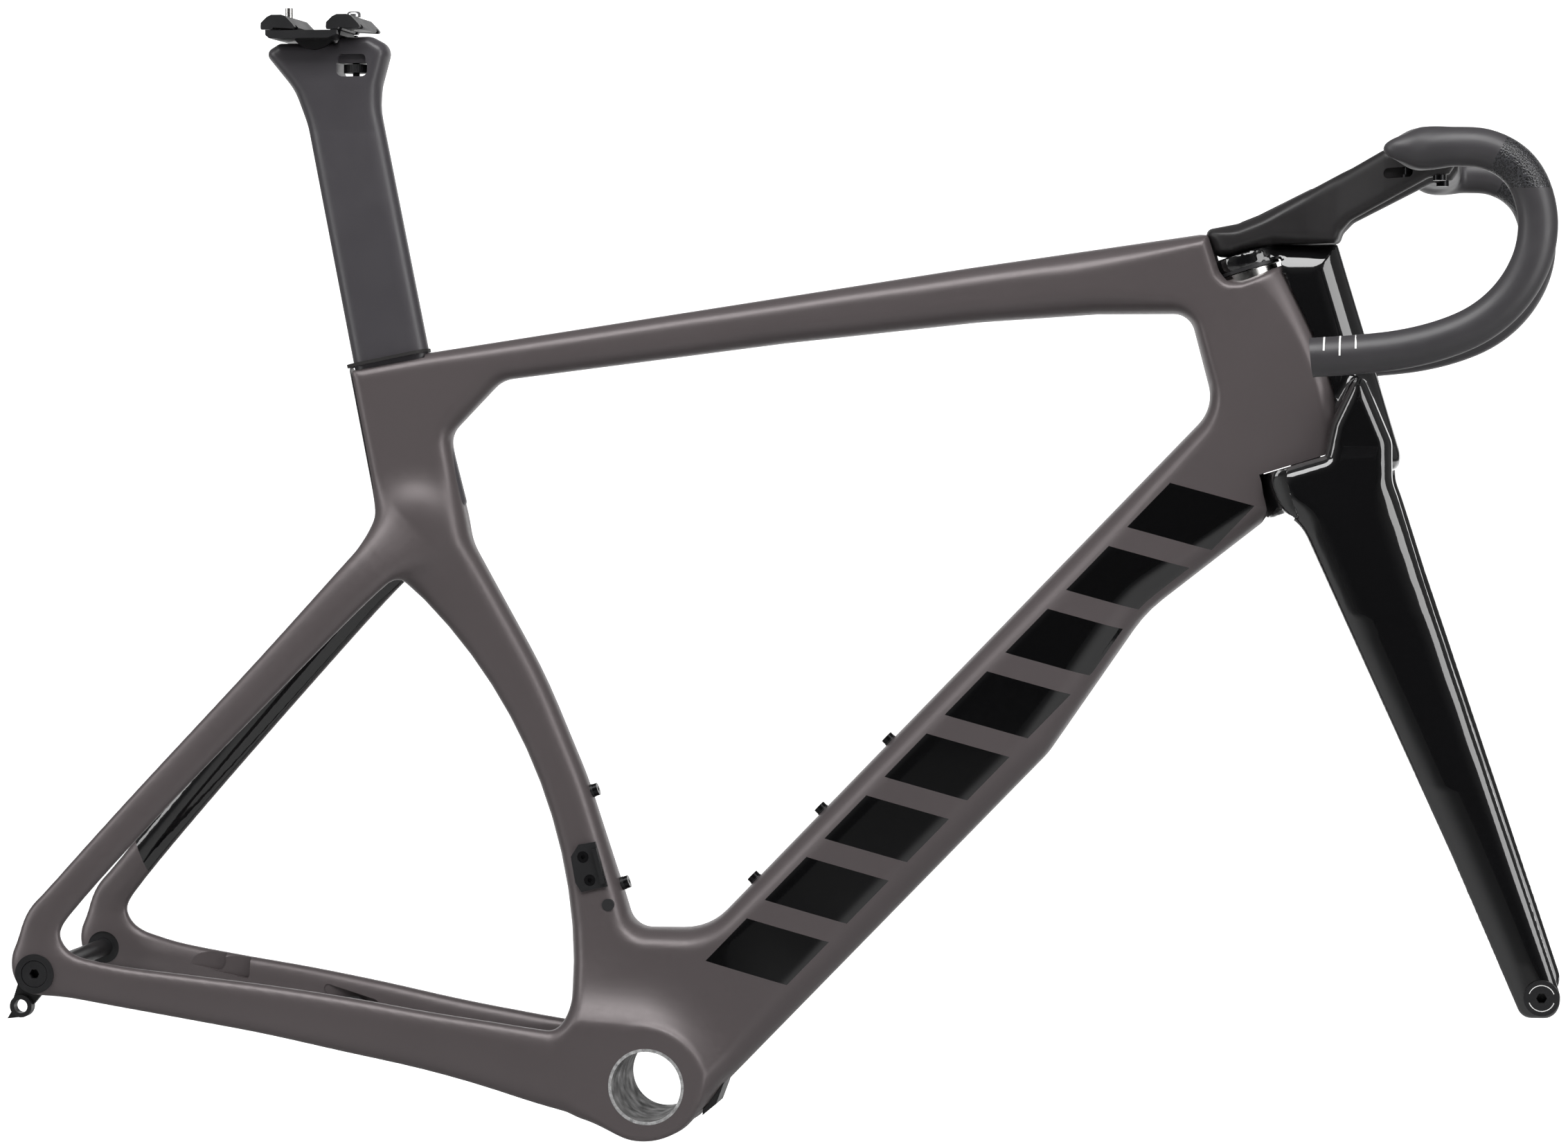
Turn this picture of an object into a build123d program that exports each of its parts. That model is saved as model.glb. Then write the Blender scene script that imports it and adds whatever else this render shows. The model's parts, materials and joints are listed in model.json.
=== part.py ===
"""Aero road frameset: frame, fork, one-piece bar on a V stem and aero seatpost.

Millimetres. Origin at the bottom bracket's centre, +X forward, +Y to the rider's left, +Z up.
The drive side is -Y.
"""
import os
from math import atan2, cos, degrees, radians, sin, sqrt

from build123d import *

os.makedirs("parts", exist_ok=True)

# ---------------------------------------------------------------- driving dimensions
BB_DROP = 72.0
CHAINSTAY_LENGTH = 405.0
WHEELBASE = 975.0
HEAD_ANGLE = 73.0
FORK_OFFSET = 47.0
POST_LEAN = 11.3
WHEEL_CLEARANCE_R = 344.0

BB_WIDTH = 79.0
BB_BORE_R = 23.0
BB_SLEEVE_R = 25.0
BB_BARREL_R = 31.0
REAR_SPACING = 142.0
FRONT_SPACING = 100.0
AXLE_R = 6.0
AXLE_GAP = 0.08
STAY_END_THICKNESS = 12.0
FORK_TIP_THICKNESS = 10.0

WALL = 2.0
HEAD_HALF_WIDTH = 25.0
SHELL_HALF_WIDTH = 27.0
TUBE_CORNER = 0.42

# heights along the steering axis, and radii about it
HEAD_TOP = 393.7
HEAD_BOTTOM = 266.6
NOTCH_R = 23.5
RECESS_R = 39.0
CROWN_R = 31.0
ARM_R = 21.5
STEM_SEAT = 405.8
COLUMN_FRONT = 59.5
PIVOT_R = 10.0
BEARING_HEIGHT = 7.0
UPPER_BEARING_R = 19.0
LOWER_BEARING_R = 22.0
BEARING_WALL = 2.4
BALL_R = 1.7
BALL_COUNT = 22

POST_CHORD = 50.6
POST_WIDTH = 20.0
POST_GAP = 0.4
POST_INSERTION = 104.0
SOCKET_DEPTH = 125.0

BAR_R = 11.9
BAR_HALF_WIDTH = 200.0
RAIL_R = 3.5
RAIL_SPACING = 44.0
BOTTLE_PITCH = 64.0
BOTTLE_BOLT_R = 2.5

# ---------------------------------------------------------------- reference points
REAR_AXLE_X = -sqrt(CHAINSTAY_LENGTH**2 - BB_DROP**2)
FRONT_AXLE_X = REAR_AXLE_X + WHEELBASE
STEER_FORWARD = Vector(sin(radians(HEAD_ANGLE)), 0, cos(radians(HEAD_ANGLE)))
STEER_UP = Vector(-cos(radians(HEAD_ANGLE)), 0, sin(radians(HEAD_ANGLE)))
STEER_REACH = STEER_FORWARD.dot(Vector(FRONT_AXLE_X, 0, BB_DROP)) - FORK_OFFSET
STEER_FOOT = STEER_FORWARD * STEER_REACH
STEER_AXIS = Axis(STEER_FOOT, STEER_UP)
STEER_SIDE = Plane(origin=STEER_FOOT, x_dir=STEER_FORWARD, z_dir=(0, -1, 0))
DROPOUT_INNER = REAR_SPACING / 2
DROPOUT_OUTER = DROPOUT_INNER + STAY_END_THICKNESS
TIP_INNER = FRONT_SPACING / 2
TIP_OUTER = TIP_INNER + FORK_TIP_THICKNESS
POST_TOP = Vector(-179.2, 0, 473.4)
POST_UP = Vector(-sin(radians(POST_LEAN)), 0, cos(radians(POST_LEAN)))
CRADLE_PIVOT = Vector(-227.0, 0, 694.0)
WHEEL_CENTRE = Vector(-201.0, 0, 666.0)


def steer_level(height):
    """The plane square to the steering axis at a height along it."""
    return Plane(origin=STEER_FOOT + STEER_UP * height, x_dir=STEER_FORWARD, z_dir=STEER_UP)


def station(x, z, angle, y=0.0):
    """A section plane across a tube that runs at an angle in the side view."""
    along = (cos(radians(angle)), 0, sin(radians(angle)))
    across = (-sin(radians(angle)), 0, cos(radians(angle)))
    return Plane(origin=(x, y, z), x_dir=across, z_dir=along)


def section_ends(x, z, angle, depth):
    """Where a section's two edges lie in the side view: the upper one first."""
    dx, dz = -sin(radians(angle)) * depth / 2, cos(radians(angle)) * depth / 2
    return (x + dx, z + dz), (x - dx, z - dz)


def save(part, name):
    """Label one finished piece and write its STEP file."""
    part.label = name
    export_step(part, f"parts/{name}.step")


def tube(stations, wall=WALL):
    """A hollow tube lofted through (plane, depth, width) sections, open at both ends."""
    with BuildPart() as body:
        for shrink, mode in ((0, Mode.ADD), (2 * wall, Mode.SUBTRACT)):
            for plane, depth, width in stations:
                with BuildSketch(plane):
                    corner = TUBE_CORNER * (min(depth, width) - shrink)
                    RectangleRounded(depth - shrink, width - shrink, corner)
            loft(ruled=True, mode=mode)
    return body.part


def pin(plane, radius, length):
    """A round bar that starts on a plane and runs along its normal."""
    with BuildPart() as body:
        with BuildSketch(plane):
            Circle(radius)
        extrude(amount=length)
    return body.part


def ring(plane, outer, inner, length):
    """A plain ring that starts on a plane and runs along its normal."""
    with BuildPart() as body:
        with BuildSketch(plane):
            Circle(outer)
            Circle(inner, mode=Mode.SUBTRACT)
        extrude(amount=length)
    return body.part


def across(x, z, y):
    """A plane square to +Y at a point, for round pieces that lie across the bike."""
    return Plane(origin=(x, y, z), x_dir=(1, 0, 0), z_dir=(0, 1, 0))


def mirrored(part):
    """The same piece on the other side of the bike."""
    return mirror(part, about=Plane.XZ)


DOWN_ANGLE = 46.0
DOWN_FOOT = (66.9, 77.6)
DOWN_DEPTH = 78.0
STAY_TOP = (-191.0, 332.0)
STAY_TOP_ANGLE = 46.7
STAY_TOP_DEPTH = 27.0

# ---------------------------------------------------------------- head tube
notch = pin(steer_level(HEAD_TOP), NOTCH_R, 60)
recess = pin(steer_level(HEAD_BOTTOM - 60), RECESS_R, 60)
NOSE = [(412.4, 537.4), (430, 500), (441, 472), (448, 450), (452.5, 428), (453, 417.3)]
BEARING_LEVELS = {"upper": HEAD_TOP - BEARING_HEIGHT, "lower": HEAD_BOTTOM}
BEARING_RADII = {"upper": UPPER_BEARING_R, "lower": LOWER_BEARING_R}

with BuildPart() as head_tube:
    with BuildSketch(Plane.XZ):
        with BuildLine():
            Polyline((453, 417.3), (402, 401.6), (409.9, 374.2), (398.9, 370.8), (345, 421))
            ThreePointArc((345, 421), (362.6, 450), (349.4, 498.3))
            Polyline((349.4, 498.3), (349.4, 553.5), (372, 556.5), (372, 525), (412.4, 537.4))
            Spline(*NOSE)
        make_face()
    extrude(amount=HEAD_HALF_WIDTH, both=True)
    with BuildSketch(Plane.XZ):
        with BuildLine():
            Polyline((453, 417.3), (480, 425), (440, 545), (412.4, 537.4))
            Spline(*NOSE)
        make_face()
    revolve(axis=STEER_AXIS, revolution_arc=90, mode=Mode.SUBTRACT)
    mirror(about=Plane.XZ, mode=Mode.INTERSECT)
    with BuildSketch(steer_level(HEAD_BOTTOM - 1)):
        Circle(PIVOT_R + 3)
    extrude(amount=HEAD_TOP - HEAD_BOTTOM + 2, mode=Mode.SUBTRACT)
    for which, level in BEARING_LEVELS.items():
        with BuildSketch(steer_level(level)):
            Circle(BEARING_RADII[which])
        extrude(amount=BEARING_HEIGHT, mode=Mode.SUBTRACT)
head_tube_part = head_tube.part - notch - recess
save(head_tube_part, "head_tube")

# ---------------------------------------------------------------- top tube
save(tube([
    (station(-138.0, 452.9, POST_LEAN), 50, 25),
    (station(-112.0, 468.0, 9), 30, 30),
    (station(-88.0, 475.0, 8), 27, 33),
    (station(85.0, 499.2, 8), 31, 38),
    (station(213.0, 515.5, 7), 37, 42),
    (station(349.4, 525.8, 0), 55, 44),
]), "top_tube")

# ---------------------------------------------------------------- bottle cage bosses and bolts
DOWN_EDGE = (45.0, 110.0)
FIRST_BOSS = 31.5
SEAT_BOSSES = ((-22.4, 129.0), (-43.0, 189.8))
SEAT_BOSS_TILT = 19.0


def boss_planes():
    """Planes on the tube faces where the cage bosses sit, each facing out of its tube."""
    along = Vector(cos(radians(DOWN_ANGLE)), 0, sin(radians(DOWN_ANGLE)))
    out = Vector(-along.Z, 0, along.X)
    foot = Vector(DOWN_EDGE[0], 0, DOWN_EDGE[1])
    planes = []
    for i in range(3):
        centre = foot + along * (FIRST_BOSS + BOTTLE_PITCH * i)
        planes.append(Plane(centre, x_dir=(0, 1, 0), z_dir=out))
    tilt = radians(SEAT_BOSS_TILT)
    for x, z in SEAT_BOSSES:
        planes.append(Plane(origin=(x, 0, z), x_dir=(0, 1, 0), z_dir=(cos(tilt), 0, sin(tilt))))
    return planes


BOSS_R = 4.4
BOSS_DEPTH = 9.0
with BuildPart() as bosses:
    for plane in boss_planes():
        with BuildSketch(plane.offset(-BOSS_DEPTH)):
            Circle(BOSS_R)
            Circle(BOTTLE_BOLT_R, mode=Mode.SUBTRACT)
        extrude(amount=BOSS_DEPTH + 1.2)
with BuildPart() as boss_holes:
    for plane in boss_planes():
        with BuildSketch(plane.offset(-BOSS_DEPTH)):
            Circle(BOSS_R)
        extrude(amount=BOSS_DEPTH + 10)
with BuildPart() as bottle_bolts:
    for plane in boss_planes():
        with BuildSketch(plane.offset(-BOSS_DEPTH)):
            Circle(BOTTLE_BOLT_R - 0.1)
        extrude(amount=BOSS_DEPTH + 1.2)
        with BuildSketch(plane.offset(1.2)):
            Circle(4.2)
            RegularPolygon(1.7, 6, mode=Mode.SUBTRACT)
        extrude(amount=3.2)
save(bosses.part, "bottle_bosses")
save(bottle_bolts.part, "bottle_bolts")

# ---------------------------------------------------------------- down tube
down_tube = tube([
    (station(*DOWN_FOOT, DOWN_ANGLE), DOWN_DEPTH, 54),
    (station(200.0, 215.3, DOWN_ANGLE), 78, 54),
    (station(300.0, 323.0, DOWN_ANGLE), 78, 52),
    (station(371.9, 395.9, degrees(atan2(53.9, 50.2))), 73.5, 50),
])
save(down_tube - recess - boss_holes.part, "down_tube")

# ---------------------------------------------------------------- bottom bracket shell
YOKE_INNER = 21.0
YOKE_OUTER = BB_WIDTH / 2
down_upper, down_lower = section_ends(*DOWN_FOOT, DOWN_ANGLE, DOWN_DEPTH)
with BuildPart() as bb_shell:
    with BuildSketch(Plane.XZ):
        with BuildLine():
            Polyline((-57, 100), (-12.5, 100), (30, 101), down_upper, down_lower, (48, 1), (34, -17))
            Polyline((34, -17), (-20, -26), (-52, -18), (-52, 44), (-57, 100))
        make_face()
    extrude(amount=SHELL_HALF_WIDTH, both=True)
    with BuildSketch(Plane.XZ):
        with BuildLine():
            Polyline((-50, 96), (-14, 96), (30, 97), (37, 99), (86, 51), (44, 20), (-46, 36), (-50, 96))
        make_face()
    extrude(amount=SHELL_HALF_WIDTH - WALL, both=True, mode=Mode.SUBTRACT)
    with BuildSketch(across(0, 0, -BB_WIDTH / 2)):
        Circle(BB_BARREL_R)
    extrude(amount=BB_WIDTH)
    for side in (-1, 1):
        with BuildSketch(Plane.XZ.offset(-side * YOKE_INNER)):
            with BuildLine():
                Polyline((-60, 33), (-60, -16), (-20, -26), (0, -30), (0, 31), (-60, 33))
            make_face()
        extrude(amount=-side * (YOKE_OUTER - YOKE_INNER))
    with BuildSketch(across(0, 0, -BB_WIDTH / 2)):
        Circle(BB_SLEEVE_R)
    extrude(amount=BB_WIDTH, mode=Mode.SUBTRACT)
save(bb_shell.part, "bb_shell")
save(ring(across(0, 0, -BB_WIDTH / 2), BB_SLEEVE_R, BB_BORE_R, BB_WIDTH), "bb_sleeve")

with BuildPart() as bb_cable_cover:
    with BuildSketch(Plane.XZ):
        with BuildLine():
            Polyline((38, -12), (47.4, 0.4), (42, -14), (33, -21.5), (33.3, -16.9), (38, -12))
        make_face()
    extrude(amount=14, both=True)
save(bb_cable_cover.part - bb_shell.part, "bb_cable_cover")

# ---------------------------------------------------------------- front derailleur mount
FD_OUTLINE = [
    (-53.8, 147.7), (-48.8, 155.7), (-37.7, 157.8),
    (-29.6, 128.6), (-46.7, 124.6), (-50.8, 130.6),
]
FD_SCREWS = ((-45.7, 147.7), (-41.2, 132.5))
FD_FACE = 15.5
FD_THICKNESS = 3.0
FD_RAIL = [(-39.5, 153.0), (-36.5, 153.6), (-30.8, 130.6), (-33.6, 130.0)]
FD_PLUG = (-29.1, 116.4)

with BuildPart() as fd_mount:
    with BuildSketch(Plane.XZ.offset(FD_FACE)):
        with BuildLine():
            Polyline(*FD_OUTLINE, close=True)
        make_face()
    extrude(amount=FD_THICKNESS)
    with BuildSketch(Plane.XZ.offset(FD_FACE + FD_THICKNESS)):
        with BuildLine():
            Polyline(*FD_RAIL, close=True)
        make_face()
    extrude(amount=1.6)
    for x, z in FD_SCREWS:
        with BuildSketch(across(x, z, -FD_FACE - FD_THICKNESS)):
            Circle(3.8)
        extrude(amount=1.6, mode=Mode.SUBTRACT)
        with BuildSketch(across(x, z, -FD_FACE - FD_THICKNESS)):
            Circle(2.0)
        extrude(amount=FD_THICKNESS, mode=Mode.SUBTRACT)
with BuildPart() as fd_screws:
    for x, z in FD_SCREWS:
        with BuildSketch(across(x, z, -FD_FACE - FD_THICKNESS + 0.2)):
            Circle(3.7)
            RegularPolygon(1.5, 6, mode=Mode.SUBTRACT)
        extrude(amount=1.4)
        with BuildSketch(across(x, z, -FD_FACE - FD_THICKNESS + 1.6)):
            Circle(1.95)
        extrude(amount=6)
fd_plug = pin(across(*FD_PLUG, -18.6), 4.0, 3.0)
save(fd_mount.part, "fd_mount_plate")
save(fd_screws.part, "fd_mount_screws")
save(fd_plug, "fd_blanking_plug")

# ---------------------------------------------------------------- seat tube with the seatstay lug
POST_CORNER = 8.5
SOCKET_CHORD = POST_CHORD + 2 * POST_GAP
SOCKET_WIDTH = POST_WIDTH + 2 * POST_GAP
WEDGE_DEPTH = 6.0
WEDGE_HEIGHT = 26.0


def post_plane(distance):
    """The plane across the seatpost at a distance below the seat tube's mouth."""
    forward = (cos(radians(POST_LEAN)), 0, sin(radians(POST_LEAN)))
    return Plane(origin=POST_TOP - POST_UP * distance, x_dir=forward, z_dir=POST_UP)


SEAT_STATIONS = [
    (Plane(origin=(-34.75, 0, 100), x_dir=(1, 0, 0), z_dir=(0, 0, 1)), 44.5, 36),
    (station(-48.4, 150.0, 108), 33, 32),
    (station(-59.5, 191.9, 112), 30, 29),
    (station(-74.0, 226.0, 115), 31, 28),
    (station(-89.5, 259.0, 117), 33.5, 28),
    (station(-112.9, 296.6, 119), 40, 28),
    (station(-144.9, 339.9, 112), 52, 28),
    (station(-158.9, 371.0, 101.3), 58, 28),
    (station(-179.2, 473.4, 101.3), 56, 28),
]
stay_upper, stay_lower = section_ends(*STAY_TOP, STAY_TOP_ANGLE, STAY_TOP_DEPTH)
with BuildPart() as seat_tube:
    for plane, depth, width in SEAT_STATIONS:
        with BuildSketch(plane):
            RectangleRounded(depth, width, TUBE_CORNER * min(depth, width))
    loft(ruled=True)
    with BuildSketch(Plane.XZ):
        with BuildLine():
            Polyline((-150, 350), (-186, 369), (-190.6, 352), stay_upper, stay_lower)
            Polyline(stay_lower, (-163, 320), (-140, 322), (-150, 350))
        make_face()
    extrude(amount=38, both=True)
    with BuildSketch(Plane.XZ):
        with BuildLine():
            Polyline((-160, 474), (-143.0, 477.5), (-133.1, 427.9), (-143, 405), (-160, 474))
        make_face()
    extrude(amount=12.5, both=True)
    for plane, depth, width in SEAT_STATIONS[:6]:
        with BuildSketch(plane):
            RectangleRounded(depth - 2 * WALL, width - 2 * WALL, TUBE_CORNER * (width - 2 * WALL))
    loft(ruled=True, mode=Mode.SUBTRACT)
    with BuildSketch(post_plane(SOCKET_DEPTH)):
        RectangleRounded(SOCKET_CHORD, SOCKET_WIDTH, POST_CORNER + POST_GAP)
    extrude(amount=SOCKET_DEPTH + 20, mode=Mode.SUBTRACT)
    with BuildSketch(post_plane(8 + WEDGE_HEIGHT)):
        with Locations((POST_CHORD / 2 + WEDGE_DEPTH / 2, 0)):
            Rectangle(WEDGE_DEPTH + 1, 14)
    extrude(amount=WEDGE_HEIGHT + 20, mode=Mode.SUBTRACT)
    for x, z in FD_SCREWS:
        with BuildSketch(across(x, z, -19)):
            Circle(2.0)
        extrude(amount=10, mode=Mode.SUBTRACT)
seat_tube_part = seat_tube.part - boss_holes.part - fd_mount.part - fd_plug
save(seat_tube_part, "seat_tube")

with BuildPart() as wedge:
    with BuildSketch(post_plane(8 + WEDGE_HEIGHT - 1)):
        with Locations((POST_CHORD / 2 + POST_GAP + WEDGE_DEPTH / 2 - 0.1, 0)):
            Rectangle(WEDGE_DEPTH - 0.6, 13.4)
    extrude(amount=WEDGE_HEIGHT - 2)
    with BuildSketch(post_plane(8)):
        with Locations((POST_CHORD / 2 + POST_GAP + WEDGE_DEPTH / 2, 0)):
            Circle(1.8)
    extrude(amount=-WEDGE_HEIGHT - 2, mode=Mode.SUBTRACT)
with BuildPart() as wedge_bolt:
    with BuildSketch(post_plane(8 + WEDGE_HEIGHT - 2)):
        with Locations((POST_CHORD / 2 + POST_GAP + WEDGE_DEPTH / 2, 0)):
            Circle(1.75)
    extrude(amount=WEDGE_HEIGHT - 3)
    with BuildSketch(post_plane(9)):
        with Locations((POST_CHORD / 2 + POST_GAP + WEDGE_DEPTH / 2, 0)):
            Circle(2.4)
            RegularPolygon(1.2, 6, mode=Mode.SUBTRACT)
    extrude(amount=4)
save(wedge.part, "seatpost_wedge")
save(wedge_bolt.part, "seatpost_wedge_bolt")

with BuildPart() as post_seal:
    with BuildSketch(post_plane(-0.4)):
        RectangleRounded(56, 27, 11)
        RectangleRounded(SOCKET_CHORD, SOCKET_WIDTH, POST_CORNER + POST_GAP, mode=Mode.SUBTRACT)
    extrude(amount=2.2)
save(post_seal.part, "seatpost_seal")

# ---------------------------------------------------------------- chainstays and seatstays
CHAINSTAY = [
    (-60, 30.2, 8.5, 49, 18.4),
    (-110, 33.5, 14, 43, 17),
    (-200, 45, 36, 36, 16),
    (-300, 60, 55, 29.5, 14),
    (-366, 77, 69.5, 25, 12),
]
DROPOUT_TOP = (-393.2, 108.4)
STAY_SLOPE = 49.0


def chainstay(wall=WALL):
    """The drive-side chainstay, lofted through sections square to +X."""
    with BuildPart() as body:
        for shrink, mode in ((0, Mode.ADD), (2 * wall, Mode.SUBTRACT)):
            for x, y, z, depth, width in CHAINSTAY:
                with BuildSketch(Plane(origin=(x, -y, z), x_dir=(0, 0, 1), z_dir=(1, 0, 0))):
                    RectangleRounded(depth - shrink, width - shrink, TUBE_CORNER * (width - shrink))
            loft(ruled=True, mode=mode)
    return body.part


seatstay = tube([
    (station(*DROPOUT_TOP, STAY_SLOPE, -76.5), 20.5, 11.5),
    (station(-330.0, 180.5, 48, -63.5), 22, 13),
    (station(-250.0, 267.5, 47, -43.0), 24, 14),
    (station(*STAY_TOP, STAY_TOP_ANGLE, -28.5), STAY_TOP_DEPTH, 18),
], 1.6)
save(seatstay, "seatstay_right")
save(mirrored(seatstay), "seatstay_left")

INSERT_FEET = ((-300.0, 60.8, 41.6), (-334.0, 69.6, 48.6))
INSERT_R = 4.2
with BuildPart() as brake_inserts:
    for foot in INSERT_FEET:
        with BuildSketch(Plane(origin=foot, z_dir=(0, 0, 1))):
            Circle(INSERT_R)
            Circle(BOTTLE_BOLT_R, mode=Mode.SUBTRACT)
        extrude(amount=12)
with BuildPart() as insert_holes:
    for foot in INSERT_FEET:
        with BuildSketch(Plane(origin=foot, z_dir=(0, 0, 1))):
            Circle(INSERT_R)
        extrude(amount=12)
        with BuildSketch(Plane(origin=foot, z_dir=(0, 0, 1))):
            Circle(INSERT_R)
        extrude(amount=-8)
with BuildPart() as grommet:
    with BuildSketch(Plane.XZ.offset(-36.5)):
        with Locations((-221, 41)):
            SlotOverall(26, 9)
            SlotOverall(20, 4, mode=Mode.SUBTRACT)
    extrude(amount=-4)
with BuildPart() as grommet_hole:
    with BuildSketch(Plane.XZ.offset(-30)):
        with Locations((-221, 41)):
            SlotOverall(26, 9)
    extrude(amount=-12)
chainstay_right = chainstay()
save(chainstay_right, "chainstay_right")
save(mirrored(chainstay_right) - insert_holes.part - grommet_hole.part, "chainstay_left")
save(brake_inserts.part, "rear_brake_inserts")
save(grommet.part, "cable_grommet")

# ---------------------------------------------------------------- rear dropouts, hanger and axle
HANGER_THICKNESS = 4.0
HANGER_HOLE = (-409.8, 49.8)
HANGER_HOLE_R = 4.5
HANGER_RING_R = 7.4
HANGER_SCREW = (-385.2, 67.4)
STAY_FRONT = (-385.5, 101.7)
STAY_BACK = (-400.9, 115.1)
AXLE_INSERT_R = 11.0


def dropout(inner, outer):
    """A stay end between two distances from the centre plane, on the drive side."""
    with BuildPart() as body:
        with BuildSketch(Plane.XZ.offset(inner)):
            with BuildLine():
                Spline(STAY_FRONT, (-380.3, 92.5), (-374.5, 85.4), (-366, 81.9))
                Polyline((-366, 81.9), (-366, 57.1), (-398, 57.6))
                Spline((-398, 57.6), (-408.5, 63.5), (-412.6, 76), (-412, 92), (-407.5, 105), STAY_BACK)
                Line(STAY_BACK, STAY_FRONT)
            make_face()
        extrude(amount=outer - inner)
        with BuildSketch(across(REAR_AXLE_X, BB_DROP, -outer)):
            Circle(AXLE_INSERT_R)
        extrude(amount=outer - inner, mode=Mode.SUBTRACT)
    return body.part


hanger_hole = pin(across(*HANGER_SCREW, -DROPOUT_OUTER), 2.0, 20)
save(dropout(DROPOUT_INNER + HANGER_THICKNESS, DROPOUT_OUTER) - hanger_hole, "dropout_right")
save(mirrored(dropout(DROPOUT_INNER, DROPOUT_OUTER)), "dropout_left")

HANGER_BORES = (
    ((REAR_AXLE_X, BB_DROP), AXLE_R + AXLE_GAP),
    (HANGER_HOLE, HANGER_HOLE_R),
    (HANGER_SCREW, 2.0),
)
with BuildPart() as hanger:
    with BuildSketch(Plane.XZ.offset(DROPOUT_INNER)):
        with Locations((REAR_AXLE_X, BB_DROP)):
            Circle(AXLE_INSERT_R)
        with Locations(HANGER_SCREW):
            Circle(4.5)
        with Locations(HANGER_HOLE):
            Circle(HANGER_RING_R)
        with BuildLine():
            Polyline((-417.0, 51), (-409, 76), (-392, 63), (-403, 50), close=True)
        make_face()
        with BuildLine():
            Polyline((-399, 82), (-384, 71.5), (-390, 63), close=True)
        make_face()
        with BuildLine():
            Polyline((-416.5, 47), (-420.0, 41.2), (-408, 42.6), close=True)
        make_face()
    extrude(amount=HANGER_THICKNESS)
    with BuildSketch(Plane.XZ.offset(DROPOUT_INNER + HANGER_THICKNESS)):
        with Locations(HANGER_HOLE):
            Circle(HANGER_RING_R)
    extrude(amount=3.5)
    for centre, radius in HANGER_BORES:
        with BuildSketch(Plane.XZ.offset(DROPOUT_INNER - 1)):
            with Locations(centre):
                Circle(radius)
        extrude(amount=12, mode=Mode.SUBTRACT)
save(hanger.part, "derailleur_hanger")
with BuildPart() as hanger_screw:
    with BuildSketch(across(*HANGER_SCREW, -DROPOUT_OUTER + 2)):
        Circle(1.95)
    extrude(amount=10)
    with BuildSketch(across(*HANGER_SCREW, -DROPOUT_INNER)):
        Circle(3.5)
        RegularPolygon(1.5, 6, mode=Mode.SUBTRACT)
    extrude(amount=1.5)
save(hanger_screw.part, "hanger_screw")

AXLE_HEAD_R = 8.6
HEAD_RECESS = 5.0


def axle_insert(inner, outer, recess_r, lip):
    """The bushing in a dropout, with a recess for the axle's head and a raised lip."""
    with BuildPart() as body:
        with BuildSketch(across(REAR_AXLE_X, BB_DROP, -outer)):
            Circle(AXLE_INSERT_R)
        extrude(amount=outer - inner)
        if lip:
            with BuildSketch(across(REAR_AXLE_X, BB_DROP, -outer - lip)):
                Circle(AXLE_INSERT_R + 2)
            extrude(amount=lip)
        with BuildSketch(across(REAR_AXLE_X, BB_DROP, -outer - lip)):
            Circle(AXLE_R + AXLE_GAP)
        extrude(amount=outer - inner + lip, mode=Mode.SUBTRACT)
        if recess_r:
            with BuildSketch(across(REAR_AXLE_X, BB_DROP, -outer - lip)):
                Circle(recess_r)
            extrude(amount=HEAD_RECESS, mode=Mode.SUBTRACT)
    return body.part


insert_right = axle_insert(DROPOUT_INNER + HANGER_THICKNESS, DROPOUT_OUTER, AXLE_HEAD_R + 0.3, 2)
save(insert_right, "axle_insert_right")
save(mirrored(axle_insert(DROPOUT_INNER, DROPOUT_OUTER, 0, 0)), "axle_insert_left")


def thru_axle(x, head_y, tail_y, head_r, head_thickness, shaft_start):
    """A thru-axle that lies along +Y with a hexagon socket in its head."""
    with BuildPart() as body:
        with BuildSketch(across(x, BB_DROP, head_y)):
            Circle(head_r)
        extrude(amount=head_thickness)
        with BuildSketch(across(x, BB_DROP, shaft_start)):
            Circle(AXLE_R)
        extrude(amount=tail_y - shaft_start)
        with BuildSketch(across(x, BB_DROP, head_y)):
            RegularPolygon(3.4, 6)
        extrude(amount=8, mode=Mode.SUBTRACT)
        with BuildSketch(across(x, BB_DROP, tail_y)):
            Circle(3.5)
        extrude(amount=-30, mode=Mode.SUBTRACT)
    return body.part


head_seat = -DROPOUT_OUTER - 2 + HEAD_RECESS
rear_axle = thru_axle(REAR_AXLE_X, head_seat - 4.5, DROPOUT_OUTER - 2, AXLE_HEAD_R, 4.4, head_seat - 2)
save(rear_axle, "rear_axle")

# ---------------------------------------------------------------- headset and steering pivot
PIVOT_BOTTOM = 244.0
PIVOT_TOP = 404.0
for which, level in BEARING_LEVELS.items():
    outer = BEARING_RADII[which]
    ball_circle = outer - BEARING_WALL - BALL_R - 0.2
    plane = steer_level(level)
    save(ring(plane, outer, outer - BEARING_WALL, BEARING_HEIGHT), f"{which}_bearing_outer_race")
    save(ring(plane, ball_circle - BALL_R - 0.2, PIVOT_R, BEARING_HEIGHT), f"{which}_bearing_inner_race")
    with BuildPart() as balls:
        with Locations(steer_level(level + BEARING_HEIGHT / 2)):
            with PolarLocations(ball_circle, BALL_COUNT):
                Sphere(BALL_R)
    save(balls.part, f"{which}_bearing_balls")

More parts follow.
